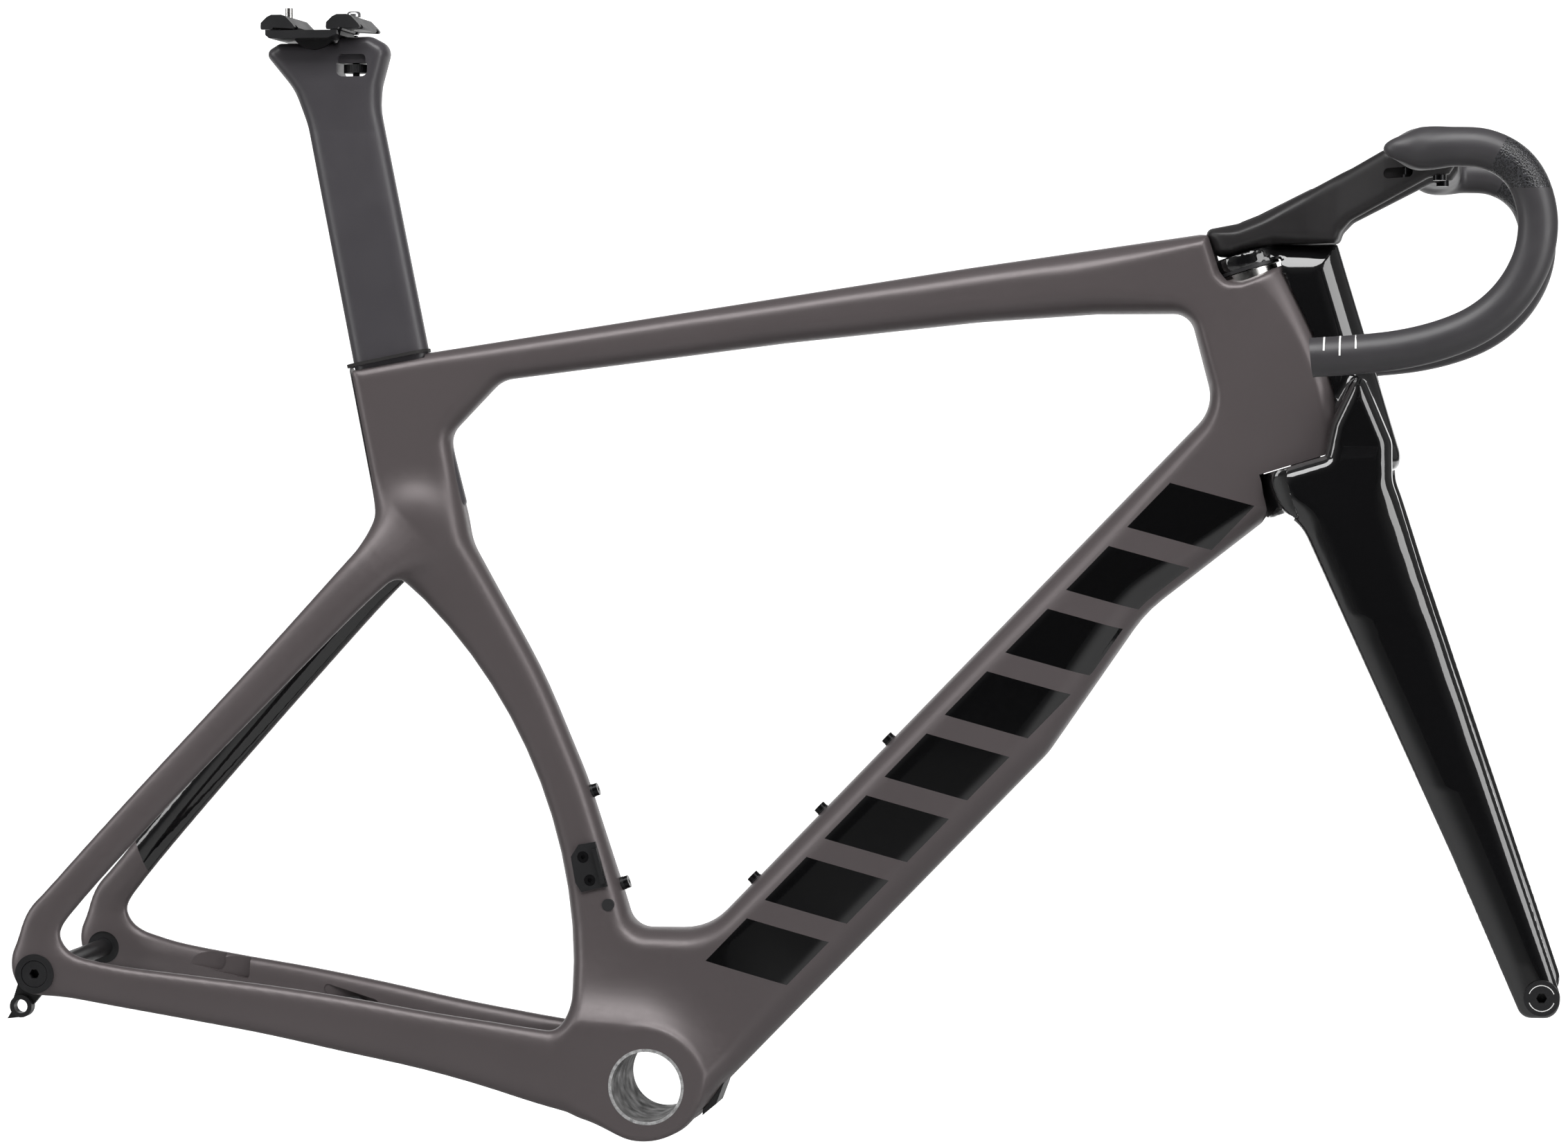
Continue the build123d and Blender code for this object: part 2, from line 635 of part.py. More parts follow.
save(ring(steer_level(PIVOT_BOTTOM), PIVOT_R, 6, PIVOT_TOP - PIVOT_BOTTOM), "steering_pivot_tube")
with BuildPart() as pivot_bolt:
    with BuildSketch(steer_level(PIVOT_BOTTOM - 1)):
        Circle(4)
    extrude(amount=PIVOT_TOP - PIVOT_BOTTOM + 1)
    with BuildSketch(steer_level(PIVOT_TOP)):
        Circle(8)
        RegularPolygon(3, 6, mode=Mode.SUBTRACT)
    extrude(amount=5)
save(pivot_bolt.part, "steering_pivot_bolt")
with BuildPart() as pivot_nut:
    with BuildSketch(steer_level(PIVOT_BOTTOM - 7)):
        Circle(8)
        Circle(4, mode=Mode.SUBTRACT)
    extrude(amount=7)
save(pivot_nut.part - pivot_bolt.part, "steering_pivot_nut")
save(ring(steer_level(HEAD_TOP + 0.6), ARM_R - 0.5, PIVOT_R, 3.6), "upper_bearing_cover")

# ---------------------------------------------------------------- fork
ARM_BOTTOM = 398.0
CROWN_TOP = 265.0
COLUMN_HALF_WIDTH = 18.0
CROWN_HALF_WIDTH = 27.0
COLUMN_REAR = [
    (27.5, ARM_BOTTOM), (33.8, 352.4), (36.2, 322.4),
    (36.5, 299.3), (33.8, 274.1), (31.5, CROWN_TOP),
]
BLADE = [
    (372.0, 453.5, 38.5, 66, 21),
    (312.0, 479.3, 46.5, 58, 18),
    (203.0, 521.8, 52.5, 43.5, 14),
    (93.0, 564.3, 55, 28.5, 10),
]
SHOULDER = [BLADE[0], (388.0, 449.0, 30, 56, 20), (402.0, 448.0, 20, 40, 14)]

with BuildPart() as fork_column:
    with BuildSketch(STEER_SIDE):
        with BuildLine():
            Spline(*COLUMN_REAR)
            Polyline(COLUMN_REAR[-1], (58.5, CROWN_TOP), (COLUMN_FRONT, 285), (COLUMN_FRONT, 393.8))
            Polyline((COLUMN_FRONT, 393.8), (20, STEM_SEAT), (0, STEM_SEAT), (0, ARM_BOTTOM), COLUMN_REAR[0])
        make_face()
    extrude(amount=COLUMN_HALF_WIDTH, both=True)
    with BuildSketch(steer_level(ARM_BOTTOM)):
        Circle(ARM_R)
    extrude(amount=STEM_SEAT - ARM_BOTTOM)
    with BuildSketch(steer_level(ARM_BOTTOM)):
        Circle(PIVOT_R)
    extrude(amount=PIVOT_TOP - ARM_BOTTOM, mode=Mode.SUBTRACT)
    with BuildSketch(steer_level(PIVOT_TOP)):
        Circle(8)
    extrude(amount=5, mode=Mode.SUBTRACT)
save(fork_column.part, "fork_column")

with BuildPart() as crown:
    with BuildSketch(steer_level(236)):
        Circle(CROWN_R)
    extrude(amount=CROWN_TOP - 236)
    with BuildSketch(STEER_SIDE):
        with BuildLine():
            crown_front = ((58.5, CROWN_TOP), (58.4, 255), (51.6, 240), (49.5, 222))
            Polyline((0, CROWN_TOP), *crown_front, (0, 228), close=True)
        make_face()
    extrude(amount=CROWN_HALF_WIDTH, both=True)
    for side in (-1, 1):
        for z, x, y, depth, width in SHOULDER:
            with BuildSketch(Plane(origin=(x, side * y, z), x_dir=(1, 0, 0), z_dir=(0, 0, 1))):
                RectangleRounded(depth, width, TUBE_CORNER * width)
        loft(ruled=True)
    with BuildSketch(across(FRONT_AXLE_X, BB_DROP, -20)):
        Circle(WHEEL_CLEARANCE_R)
    extrude(amount=40, mode=Mode.SUBTRACT)
    with BuildSketch(Plane.XY.offset(300)):
        Rectangle(1400, 200)
    extrude(amount=72, mode=Mode.SUBTRACT)
    with BuildSketch(steer_level(200)):
        Circle(PIVOT_R)
    extrude(amount=70, mode=Mode.SUBTRACT)
save(crown.part, "fork_crown")


def fork_blade(wall=WALL):
    """The drive-side fork blade, lofted through level sections."""
    with BuildPart() as body:
        for shrink, mode in ((0, Mode.ADD), (2 * wall, Mode.SUBTRACT)):
            for z, x, y, depth, width in BLADE:
                with BuildSketch(Plane(origin=(x, -y, z), x_dir=(1, 0, 0), z_dir=(0, 0, 1))):
                    RectangleRounded(depth - shrink, width - shrink, TUBE_CORNER * (width - shrink))
            loft(ruled=True, mode=mode)
    return body.part


blade_right = fork_blade()
save(blade_right, "fork_blade_right")
save(mirrored(blade_right), "fork_blade_left")

FRONT_HEAD_R = 11.2


def fork_tip():
    """The drive-side fork end around the front axle."""
    with BuildPart() as body:
        with BuildSketch(Plane.XZ.offset(TIP_INNER)):
            with BuildLine():
                Polyline((550.05, 93), (578.55, 93), (587, 74))
                Spline((587, 74), (586.5, 64.5), (580, 59.6), (567, 59.6), (562.5, 66))
                Line((562.5, 66), (550.05, 93))
            make_face()
        extrude(amount=FORK_TIP_THICKNESS)
        with BuildSketch(across(FRONT_AXLE_X, BB_DROP, -TIP_OUTER)):
            Circle(AXLE_R + AXLE_GAP)
        extrude(amount=FORK_TIP_THICKNESS, mode=Mode.SUBTRACT)
    return body.part


save(fork_tip(), "fork_tip_right")
save(mirrored(fork_tip()), "fork_tip_left")
front_axle = thru_axle(FRONT_AXLE_X, -TIP_OUTER - 3.6, TIP_OUTER - 1, FRONT_HEAD_R, 3.5, -TIP_OUTER - 1)
save(front_axle, "front_axle")

# ---------------------------------------------------------------- handlebar
WING_CENTRE = (498.0, 0.0, 608.0)
WING_END = (499.0, 172.0, 598.8)
HOOK_REACH = 571.5
HOOK_TOP = 600.5
HOOK_CORNER = 496.0
BAR_END = (437.0, BAR_HALF_WIDTH, 473.5)
HOOK_RADII = (13, 40, 72)


def bar_half(radius, shrink):
    """One half of the bar: the wing and the drop, solid, with every section smaller by shrink."""
    path_points = [
        (500, 170, 599.5),
        (503, BAR_HALF_WIDTH, HOOK_TOP),
        (HOOK_REACH, BAR_HALF_WIDTH, HOOK_TOP),
        (HOOK_REACH, BAR_HALF_WIDTH, HOOK_CORNER),
        BAR_END,
    ]
    with BuildPart() as body:
        for (x, y, z), chord, thick in ((WING_CENTRE, 46, 17), (WING_END, 40, 20)):
            with BuildSketch(Plane(origin=(x, y, z), x_dir=(1, 0, 0), z_dir=(0, 1, 0))):
                RectangleRounded(chord - shrink, thick - shrink, (thick - shrink) * 0.45)
        loft()
        with BuildLine():
            route = FilletPolyline(*path_points, radius=list(HOOK_RADII))
        with BuildSketch(Plane(origin=route @ 0, z_dir=route % 0)):
            Circle(radius)
        sweep(path=route)
    return body.part


left_half = bar_half(BAR_R, 0) - bar_half(BAR_R - 2, 4)
handlebar = left_half + mirror(left_half, about=Plane.XZ)

# ---------------------------------------------------------------- stem
STEM_ARM = [(425, 12, 568, 20, 14), (475, 34, 588.5, 26, 15), (519, 50, 598.5, 9, 15)]
with BuildPart() as stem:
    with BuildSketch(Plane.XZ):
        with BuildLine():
            Polyline((378, 540), (403, 547.6), (444, 547.6), (447, 556), (460, 566))
            Polyline((460, 566), (452, 592), (433, 583), (394, 563.7), (381, 558.6), (378, 540))
        make_face()
    extrude(amount=20, both=True)
    with BuildSketch(steer_level(STEM_SEAT)):
        Circle(ARM_R)
    extrude(amount=16)
    for side in (-1, 1):
        for x, y, z, depth, width in STEM_ARM:
            with BuildSketch(Plane(origin=(x, side * y, z), x_dir=(0, 0, 1), z_dir=(1, 0, 0))):
                RectangleRounded(depth, width, 0.4 * min(depth, width))
        loft(ruled=True)
    with BuildSketch(steer_level(STEM_SEAT)):
        Circle(8.5)
    extrude(amount=5, mode=Mode.SUBTRACT)
with BuildPart() as wing_envelope:
    for (x, y, z), chord, thick in ((WING_END, 40, 20), (WING_CENTRE, 46, 17)):
        with BuildSketch(Plane(origin=(x, y, z), x_dir=(1, 0, 0), z_dir=(0, 1, 0))):
            RectangleRounded(chord, thick, thick * 0.45)
    loft()
    mirror(about=Plane.XZ)

BAR_BOLTS = [(490.0, 41.5), (510.0, 47.0)]
BAR_BOLT_TOP = 603.0
with BuildPart() as bar_bolts:
    for x, y in BAR_BOLTS:
        for side in (-1, 1):
            top = Plane(origin=(x, side * y, BAR_BOLT_TOP), x_dir=(1, 0, 0), z_dir=(0, 0, -1))
            with BuildSketch(top):
                Circle(2.5)
            extrude(amount=17)
            with BuildSketch(top.offset(13 - (x - 490) * 0.1)):
                Circle(4.2)
            extrude(amount=6)
save(bar_bolts.part, "bar_bolts")
with BuildPart() as stem_cover:
    with BuildSketch(Plane.XZ):
        with BuildLine():
            cover_top = ((383, 559.2), (383, 561.6), (394, 565.9), (428, 582.8))
            Polyline(*cover_top, (429, 580.8), (394, 563.7), close=True)
        make_face()
    extrude(amount=9, both=True)
stem_part = stem.part - wing_envelope.part - bar_bolts.part - stem_cover.part
save(stem_part, "stem")
save(stem_cover.part, "stem_cover")
save(handlebar - bar_bolts.part, "handlebar")

# ---------------------------------------------------------------- seatpost and saddle clamp
POST_HEAD_HALF = 12.5
ROCKER_R = 15.6
WINDOW = (-201.3, 667.4)
TILT_WHEEL_R = 8.2
TILT_WHEEL_HEIGHT = 5.6
WHEEL_BOTTOM = WHEEL_CENTRE.Z - TILT_WHEEL_HEIGHT / 2
ROD_R = 1.9
with BuildPart() as seatpost:
    with BuildSketch(post_plane(POST_INSERTION)):
        RectangleRounded(POST_CHORD, POST_WIDTH, POST_CORNER)
    extrude(amount=POST_INSERTION + 180)
    with BuildSketch(Plane.XZ):
        with BuildLine():
            Spline((-239.8, 640), (-248, 659.5), (-257, 670.2), (-259.3, 677), (-254, 682.8))
            Polyline((-254, 682.8), (-205.5, 682.8), (-205.5, 688.2), (-193, 688.2))
            Spline((-193, 688.2), (-182, 686), (-177.4, 679.5), (-180, 665), (-184.6, 650), (-182.8, 632))
            Line((-182.8, 632), (-239.8, 640))
        make_face()
    extrude(amount=POST_HEAD_HALF, both=True)
    with BuildSketch(across(CRADLE_PIVOT.X, CRADLE_PIVOT.Z, -30)):
        Circle(ROCKER_R + 0.3)
    extrude(amount=60, mode=Mode.SUBTRACT)
    with BuildSketch(Plane.XZ):
        with Locations(WINDOW):
            RectangleRounded(19.6, 14.4, 6)
    extrude(amount=30, both=True, mode=Mode.SUBTRACT)
    with BuildSketch(Plane.XY.offset(654)):
        with Locations((WHEEL_CENTRE.X, 0)):
            Circle(ROD_R + 0.3)
    extrude(amount=40, mode=Mode.SUBTRACT)
    with BuildSketch(Plane.XY.offset(690)):
        with Locations((-220, 0)):
            Rectangle(120, 60)
    extrude(amount=60, mode=Mode.SUBTRACT)
    with BuildSketch(Plane.XZ):
        with BuildLine():
            Polyline((-262, 682.8), (-205.5, 682.8), (-205.5, 700), (-262, 700), close=True)
        make_face()
    extrude(amount=30, both=True, mode=Mode.SUBTRACT)
    with BuildSketch(post_plane(POST_INSERTION)):
        RectangleRounded(POST_CHORD - 5, POST_WIDTH - 5, POST_CORNER - 2.5)
    extrude(amount=POST_INSERTION + 150, mode=Mode.SUBTRACT)
save(seatpost.part, "seatpost")

with BuildPart() as tilt_wheel:
    with BuildSketch(Plane.XY.offset(WHEEL_BOTTOM)):
        with Locations((WHEEL_CENTRE.X, 0)):
            Circle(TILT_WHEEL_R)
            with PolarLocations(TILT_WHEEL_R + 0.35, 36):
                Circle(0.6, mode=Mode.SUBTRACT)
    extrude(amount=TILT_WHEEL_HEIGHT)
save(tilt_wheel.part, "tilt_wheel")
with BuildPart() as tilt_rod:
    for start, length in ((655, WHEEL_BOTTOM - 655), (WHEEL_BOTTOM + TILT_WHEEL_HEIGHT, 13)):
        with BuildSketch(Plane.XY.offset(start)):
            with Locations((WHEEL_CENTRE.X, 0)):
                Circle(ROD_R)
        extrude(amount=length)
save(tilt_rod.part, "tilt_rod")

CRADLE_TOP = 690.0
YOKE_GAP = 0.6
CLAMP_HALF_WIDTH = 30.0
CLAMP_BOLTS = (-246.5, -202.5)


def rail_grooves():
    """Two round grooves for the saddle rails."""
    with BuildPart() as body:
        for side in (-1, 1):
            start = (-300, side * RAIL_SPACING / 2, CRADLE_TOP + YOKE_GAP / 2)
            with BuildSketch(Plane(origin=start, x_dir=(0, 1, 0), z_dir=(1, 0, 0))):
                Circle(RAIL_R)
            extrude(amount=150)
    return body.part


with BuildPart() as cradle:
    with BuildSketch(Plane.XZ):
        with BuildLine():
            Polyline((-255, CRADLE_TOP), (-207, CRADLE_TOP), (-207, 687.2), (-213, 684.8))
            Polyline((-213, 684.8), (-252.5, 684.8), (-255, 687), (-255, CRADLE_TOP))
        make_face()
    extrude(amount=CLAMP_HALF_WIDTH, both=True)
    with BuildSketch(across(CRADLE_PIVOT.X, CRADLE_PIVOT.Z, -POST_HEAD_HALF + 0.5)):
        Circle(ROCKER_R)
    extrude(amount=2 * POST_HEAD_HALF - 1)
    with BuildSketch(Plane.XY.offset(CRADLE_TOP)):
        with Locations((-227, 0)):
            Rectangle(80, 80)
    extrude(amount=30, mode=Mode.SUBTRACT)
    with BuildSketch(Plane.XY.offset(680)):
        with Locations((CLAMP_BOLTS[0], 0)):
            Circle(2.6)
    extrude(amount=20, mode=Mode.SUBTRACT)
save(cradle.part - rail_grooves(), "saddle_cradle")

YOKE_PROFILE = [
    (-11.5, 0.6), (-4, 0.6), (-3.4, 1.8), (10, 1.0), (11, 2.2), (9.6, 4.2),
    (4.6, 9.4), (2.0, 10.2), (-4.6, 10.2), (-7.6, 8.8), (-11.6, 5.0), (-11.8, 2.0),
]
with BuildPart() as yokes:
    for bolt_x in CLAMP_BOLTS:
        with BuildSketch(Plane.XZ):
            with BuildLine():
                Polyline(*[(bolt_x + x, CRADLE_TOP + z) for x, z in YOKE_PROFILE], close=True)
            make_face()
        extrude(amount=CLAMP_HALF_WIDTH - 0.5, both=True)
    with BuildSketch(Plane.XY.offset(680)):
        with Locations((CLAMP_BOLTS[0], 0), (CLAMP_BOLTS[1], 0)):
            Circle(2.6)
    extrude(amount=40, mode=Mode.SUBTRACT)
save(yokes.part - rail_grooves(), "rail_yokes")
with BuildPart() as clamp_bolts:
    for bolt_x, low, high in ((CLAMP_BOLTS[0], 686.5, 706.5), (CLAMP_BOLTS[1], 691.2, 703.0)):
        with BuildSketch(Plane.XY.offset(low)):
            with Locations((bolt_x, 0)):
                Circle(2.5)
        extrude(amount=high - low)
save(clamp_bolts.part, "clamp_bolts")
with BuildPart() as clamp_nut:
    with BuildSketch(Plane.XY.offset(CRADLE_TOP + 10.3)):
        with Locations((CLAMP_BOLTS[1], 0)):
            Circle(4.6)
    extrude(amount=3.6)
    fillet(clamp_nut.edges().sort_by(Axis.Z)[-1], 2.0)
save(clamp_nut.part - clamp_bolts.part, "clamp_nut")
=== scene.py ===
"""Looks for the aero road frameset: smooth carbon shells, paint, hardware finishes, studio and camera.

Blender works in metres; shapes here are written in millimetres in the row frame and scaled by MM.
The frame, fork, stem, bar and seatpost are closed surfaces of a field: negative inside, zero on the skin.
"""

import json
from math import acos, cos, pi, radians, sin, tan

import bpy
import numpy as np
import openvdb
from mathutils import Matrix, Vector


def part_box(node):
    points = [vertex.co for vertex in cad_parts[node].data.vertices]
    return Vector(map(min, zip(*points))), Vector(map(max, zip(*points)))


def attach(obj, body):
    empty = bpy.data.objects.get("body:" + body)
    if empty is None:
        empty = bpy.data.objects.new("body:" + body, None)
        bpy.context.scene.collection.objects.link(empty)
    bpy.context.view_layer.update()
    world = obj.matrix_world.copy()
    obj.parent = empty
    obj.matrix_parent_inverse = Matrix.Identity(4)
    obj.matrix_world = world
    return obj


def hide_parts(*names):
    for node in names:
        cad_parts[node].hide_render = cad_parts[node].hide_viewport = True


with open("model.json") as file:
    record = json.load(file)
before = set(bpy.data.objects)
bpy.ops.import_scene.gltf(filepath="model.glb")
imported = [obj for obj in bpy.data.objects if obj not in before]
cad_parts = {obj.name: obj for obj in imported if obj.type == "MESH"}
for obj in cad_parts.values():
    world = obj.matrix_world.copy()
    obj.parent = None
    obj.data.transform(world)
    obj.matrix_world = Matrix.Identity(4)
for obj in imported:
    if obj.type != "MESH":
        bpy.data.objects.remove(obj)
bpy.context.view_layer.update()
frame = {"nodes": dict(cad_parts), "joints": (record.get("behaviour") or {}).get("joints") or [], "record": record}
MM = 0.001
VOXEL = 1.9
FINE_VOXEL = 1.2

# ---------------------------------------------------------------- datums taken from the CAD frame
record = frame["record"]
JOINTS = {joint["name"]: joint for joint in frame["joints"]}
STEER_FOOT = Vector(JOINTS["steering"]["pos_m"]) / MM
STEER_UP = Vector(JOINTS["steering"]["axis"]).normalized()
STEER_AHEAD = Vector((STEER_UP.z, 0, -STEER_UP.x))


def middle(node):
    """The centre of a CAD node's box, in millimetres."""
    low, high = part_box(node)
    return (low + high) / 2 / MM


REAR_AXLE = middle("rear_axle")
FRONT_AXLE = middle("front_axle")
TILT_WHEEL = middle("tilt_wheel")
CRADLE_PIVOT = Vector(JOINTS["saddle_tilt"]["pos_m"]) / MM
BB_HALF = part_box("bb_sleeve")[1].y / MM
BB_SLEEVE_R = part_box("bb_sleeve")[1].x / MM
WHEEL_R = 344.0


def steer_point(ahead, up):
    """The (x, z) of a point given ahead of the steering axis and up along it."""
    point = STEER_FOOT + STEER_AHEAD * ahead + STEER_UP * up
    return point.x, point.z


def steer_at(up):
    """The point on the steering axis at a height along it."""
    return STEER_FOOT + STEER_UP * up


def steer_coordinates(x, z):
    """How far ahead of the steering axis and how far up along it a place in the side view is."""
    dx, dz = x - STEER_FOOT.x, z - STEER_FOOT.z
    return dx * STEER_AHEAD.x + dz * STEER_AHEAD.z, dx * STEER_UP.x + dz * STEER_UP.z


# ---------------------------------------------------------------- outlines and fields
def rounded(corners):
    """A closed outline through (x, z, radius) corners, each rounded by an arc."""
    points = [Vector(corner[:2]) for corner in corners]
    line = []
    for i, (x, z, radius) in enumerate(corners):
        corner = points[i]
        back = points[i - 1] - corner
        on = points[(i + 1) % len(points)] - corner
        half = acos(max(-1, min(1, back.normalized().dot(on.normalized())))) / 2
        if radius == 0 or half > pi / 2 - 0.004:
            line.append(corner)
            continue
        reach = min(radius / tan(half), 0.49 * min(back.length, on.length))
        centre = corner + (back.normalized() + on.normalized()).normalized() * reach / cos(half)
        start = corner + back.normalized() * reach - centre
        end = corner + on.normalized() * reach - centre
        turn = start.angle_signed(end)
        steps = max(3, int(abs(turn) / 0.12))
        for k in range(steps + 1):
            line.append(centre + Matrix.Rotation(-turn * k / steps, 2) @ start)
    return np.array(line)


class Outline:
    """The distance inside a closed outline with holes, in the side view, looked up on a fine grid."""

    CELL = 1.25
    MARGIN = 45.0

    def __init__(self, *loops):
        loops = [rounded(loop) for loop in loops]
        self.low = loops[0].min(0) - self.MARGIN
        count = ((loops[0].max(0) + self.MARGIN - self.low) / self.CELL).astype(int) + 2
        x = self.low[0] + np.arange(count[0])[:, None] * self.CELL
        z = self.low[1] + np.arange(count[1])[None, :] * self.CELL
        nearest = np.full(count, 1e9)
        inside = np.zeros(count, bool)
        for loop in loops:
            for (ax, az), (bx, bz) in zip(loop, np.roll(loop, -1, 0)):
                dx, dz = bx - ax, bz - az
                length = dx * dx + dz * dz
                if length < 1e-9:
                    continue
                along = np.clip(((x - ax) * dx + (z - az) * dz) / length, 0, 1)
                nearest = np.minimum(nearest, (x - ax - along * dx) ** 2 + (z - az - along * dz) ** 2)
                if az != bz:
                    crosses = ((az > z) != (bz > z)) & (x < ax + (z - az) * dx / dz)
                    inside ^= crosses
        self.inset = np.sqrt(nearest) * np.where(inside, 1, -1)

    def __call__(self, x, z):
        i = np.clip((x - self.low[0]) / self.CELL, 0, self.inset.shape[0] - 1.001)
        k = np.clip((z - self.low[1]) / self.CELL, 0, self.inset.shape[1] - 1.001)
        i0, k0 = i.astype(int), k.astype(int)
        across, above = i - i0, k - k0
        lower = self.inset[i0, k0] * (1 - across) + self.inset[i0 + 1, k0] * across
        upper = self.inset[i0, k0 + 1] * (1 - across) + self.inset[i0 + 1, k0 + 1] * across
        return lower * (1 - above) + upper * above


def join(a, b, soft):
    """The union of two fields with a fillet."""
    h = np.clip(0.5 + 0.5 * (b - a) / soft, 0, 1)
    return b + (a - b) * h - soft * h * (1 - h)


def keep(a, b, soft):
    """The part of field a that is also in field b, with a rounded edge."""
    return -join(-a, -b, soft)


def shell(inset, y, half, edge, power=2.3):
    """A slab of half-width half over an outline, its rim rounded over the distance edge."""
    rim = np.maximum(1 - inset / edge, 0)
    return ((rim**power + (np.abs(y) / half) ** power) ** (1 / power) - 1) * np.minimum(half, edge)


def blended(table, spread, x, z):
    """Values from a table of (x, z, value, ...) places, blended smoothly between the nearest ones."""
    squares = [((x - row[0]) ** 2 + (z - row[1]) ** 2) / (2 * spread**2) for row in table]
    least = squares[0]
    for square in squares[1:]:
        least = np.minimum(least, square)
    weights = [np.exp(least - square) for square in squares]
    total = sum(weights)
    return [sum(w * row[k] for w, row in zip(weights, table)) / total for k in range(2, len(table[0]))]


def curve(stations, steps=6):
    """A smooth run of rows through station rows."""
    rows = np.array(stations, float)
    padded = np.vstack([2 * rows[0] - rows[1], rows, 2 * rows[-1] - rows[-2]])
    out = []
    for i in range(1, len(padded) - 2):
        a, b, c, d = padded[i - 1 : i + 3]
        second = 2 * a - 5 * b + 4 * c - d
        third = 3 * b - a - 3 * c + d
        for t in np.arange(steps) / steps:
            out.append(0.5 * (2 * b + (c - a) * t + second * t**2 + third * t**3))
    out.append(rows[-1])
    return np.array(out)


def strut(rows, x, side, z, power=2.3):
    """A limb through rows of x, distance from the centre plane, z, depth and width."""
    best = np.full(np.broadcast(x, z).shape, 1e9)
    values = [np.zeros_like(best) for _ in range(3)]
    for a, b in zip(rows[:-1], rows[1:]):
        dx, dz = b[0] - a[0], b[2] - a[2]
        t = np.clip(((x - a[0]) * dx + (z - a[2]) * dz) / (dx * dx + dz * dz), 0, 1)
        square = (x - a[0] - t * dx) ** 2 + (z - a[2] - t * dz) ** 2
        closer = square < best
        best = np.where(closer, square, best)
        for k, column in enumerate((1, 3, 4)):
            values[k] = np.where(closer, a[column] + t * (b[column] - a[column]), values[k])
    middle_y, depth, width = values
    across = np.sqrt(best) / (depth / 2)
    sideways = np.abs(side - middle_y) / (width / 2)
    return ((across**power + sideways**power) ** (1 / power) - 1) * np.minimum(depth, width) / 2


def new_piece(name, verts, faces):
    """A mesh object from vertices in metres and faces, placed in the scene."""
    mesh = bpy.data.meshes.new(name)
    mesh.from_pydata(verts, [], faces)
    piece = bpy.data.objects.new(name, mesh)
    bpy.context.scene.collection.objects.link(piece)
    return piece


def skin(name, field, low, high, voxel):
    """The closed surface of a field that is the same on both sides of the centre plane."""
    x, z = (np.arange(low[k], high[k] + voxel, voxel) for k in (0, 2))
    y = np.arange(0, high[1] + voxel, voxel)
    half = field(x[:, None, None], y[None, :, None], z[None, None, :])
    half = np.clip(half, -3 * voxel, 3 * voxel).astype(np.float32)
    grid = openvdb.FloatGrid()
    grid.background = 3 * voxel
    grid.copyFromArray(np.ascontiguousarray(np.concatenate([half[:, :0:-1], half], 1)))
    points, quads = grid.convertToQuads(isovalue=0.0)
    points = points.astype(float) * voxel + np.array([low[0], -(len(y) - 1) * voxel, low[2]])
    nudge = 0.05
    for _ in range(3):
        here = field(*points.T)
        slope = np.stack([field(*(points + nudge * np.eye(3)[k]).T) - here for k in range(3)], 1) / nudge
        step = slope * (here / np.maximum((slope**2).sum(1), 0.05))[:, None]
        points -= np.clip(step, -0.6 * voxel, 0.6 * voxel)
    a, b, c = (points[quads[:, k]] for k in range(3))
    if (np.cross(b - a, c - a) * a).sum() < 0:
        quads = quads[:, ::-1]
    return new_piece(name, (points * MM).tolist(), quads.tolist())


# ---------------------------------------------------------------- cutters
def rod(start, end, radius, sides=72):
    """A cylinder between two points, as vertices and faces in millimetres."""
    start, end = Vector(start), Vector(end)
    turn = Vector((0, 0, 1)).rotation_difference(end - start).to_matrix()
    rings = []
    for centre in (start, end):
        for a in np.arange(sides) * 2 * pi / sides:
            rings.append(centre + turn @ Vector((radius * cos(a), radius * sin(a), 0)))
    faces = [(k, (k + 1) % sides, sides + (k + 1) % sides, sides + k) for k in range(sides)]
    faces += [tuple(reversed(range(sides))), tuple(range(sides, 2 * sides))]
    return rings, faces


def crosswise(place, y_start, y_end, radius):
    """A cylinder across the frame through a place in the side view."""
    return rod((place.x, y_start, place.z), (place.x, y_end, place.z), radius)


def prism(outline, y_low, y_high):
    """A side-view outline carried from one distance to another, as vertices and faces."""
    line = rounded(outline)
    count = len(line)
    verts = [Vector((x, y, z)) for y in (y_low, y_high) for x, z in line]
    faces = [(k, (k + 1) % count, count + (k + 1) % count, count + k) for k in range(count)]
    faces += [tuple(reversed(range(count))), tuple(range(count, 2 * count))]
    return verts, faces


def cut(piece, cutters):
    """Take the cutters out of a piece with clean edges; the cutters mustn't overlap each other."""
    verts, faces = [], []
    for cutter_verts, cutter_faces in cutters:
        faces += [tuple(k + len(verts) for k in face) for face in cutter_faces]
        verts += [tuple(v * MM) for v in cutter_verts]
    cutter = new_piece("cutter", verts, faces)
    select_only(cutter)
    bpy.ops.object.mode_set(mode="EDIT")
    bpy.ops.mesh.select_all(action="SELECT")
    bpy.ops.mesh.normals_make_consistent(inside=False)
    bpy.ops.object.mode_set(mode="OBJECT")
    modifier = piece.modifiers.new("cut", "BOOLEAN")
    modifier.operation = "DIFFERENCE"
    modifier.solver = "EXACT"
    modifier.object = cutter
    select_only(piece)
    bpy.ops.object.modifier_apply(modifier="cut")
    bpy.data.objects.remove(cutter)


def select_only(piece):
    """Make a piece the only selected and active one."""
    bpy.ops.object.select_all(action="DESELECT")
    piece.select_set(True)
    bpy.context.view_layer.objects.active = piece


def finish_piece(piece, body, nodes, material, crisp=32):
    """Shade a new piece, hang it on its body and let it stand for its CAD nodes."""
    piece.data.polygons.foreach_set("use_smooth", [True] * len(piece.data.polygons))
    piece.data.set_sharp_from_angle(angle=radians(crisp))
    piece.data.materials.clear()
    piece.data.materials.append(material)
    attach(piece, body)
    if nodes:
        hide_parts(*nodes)


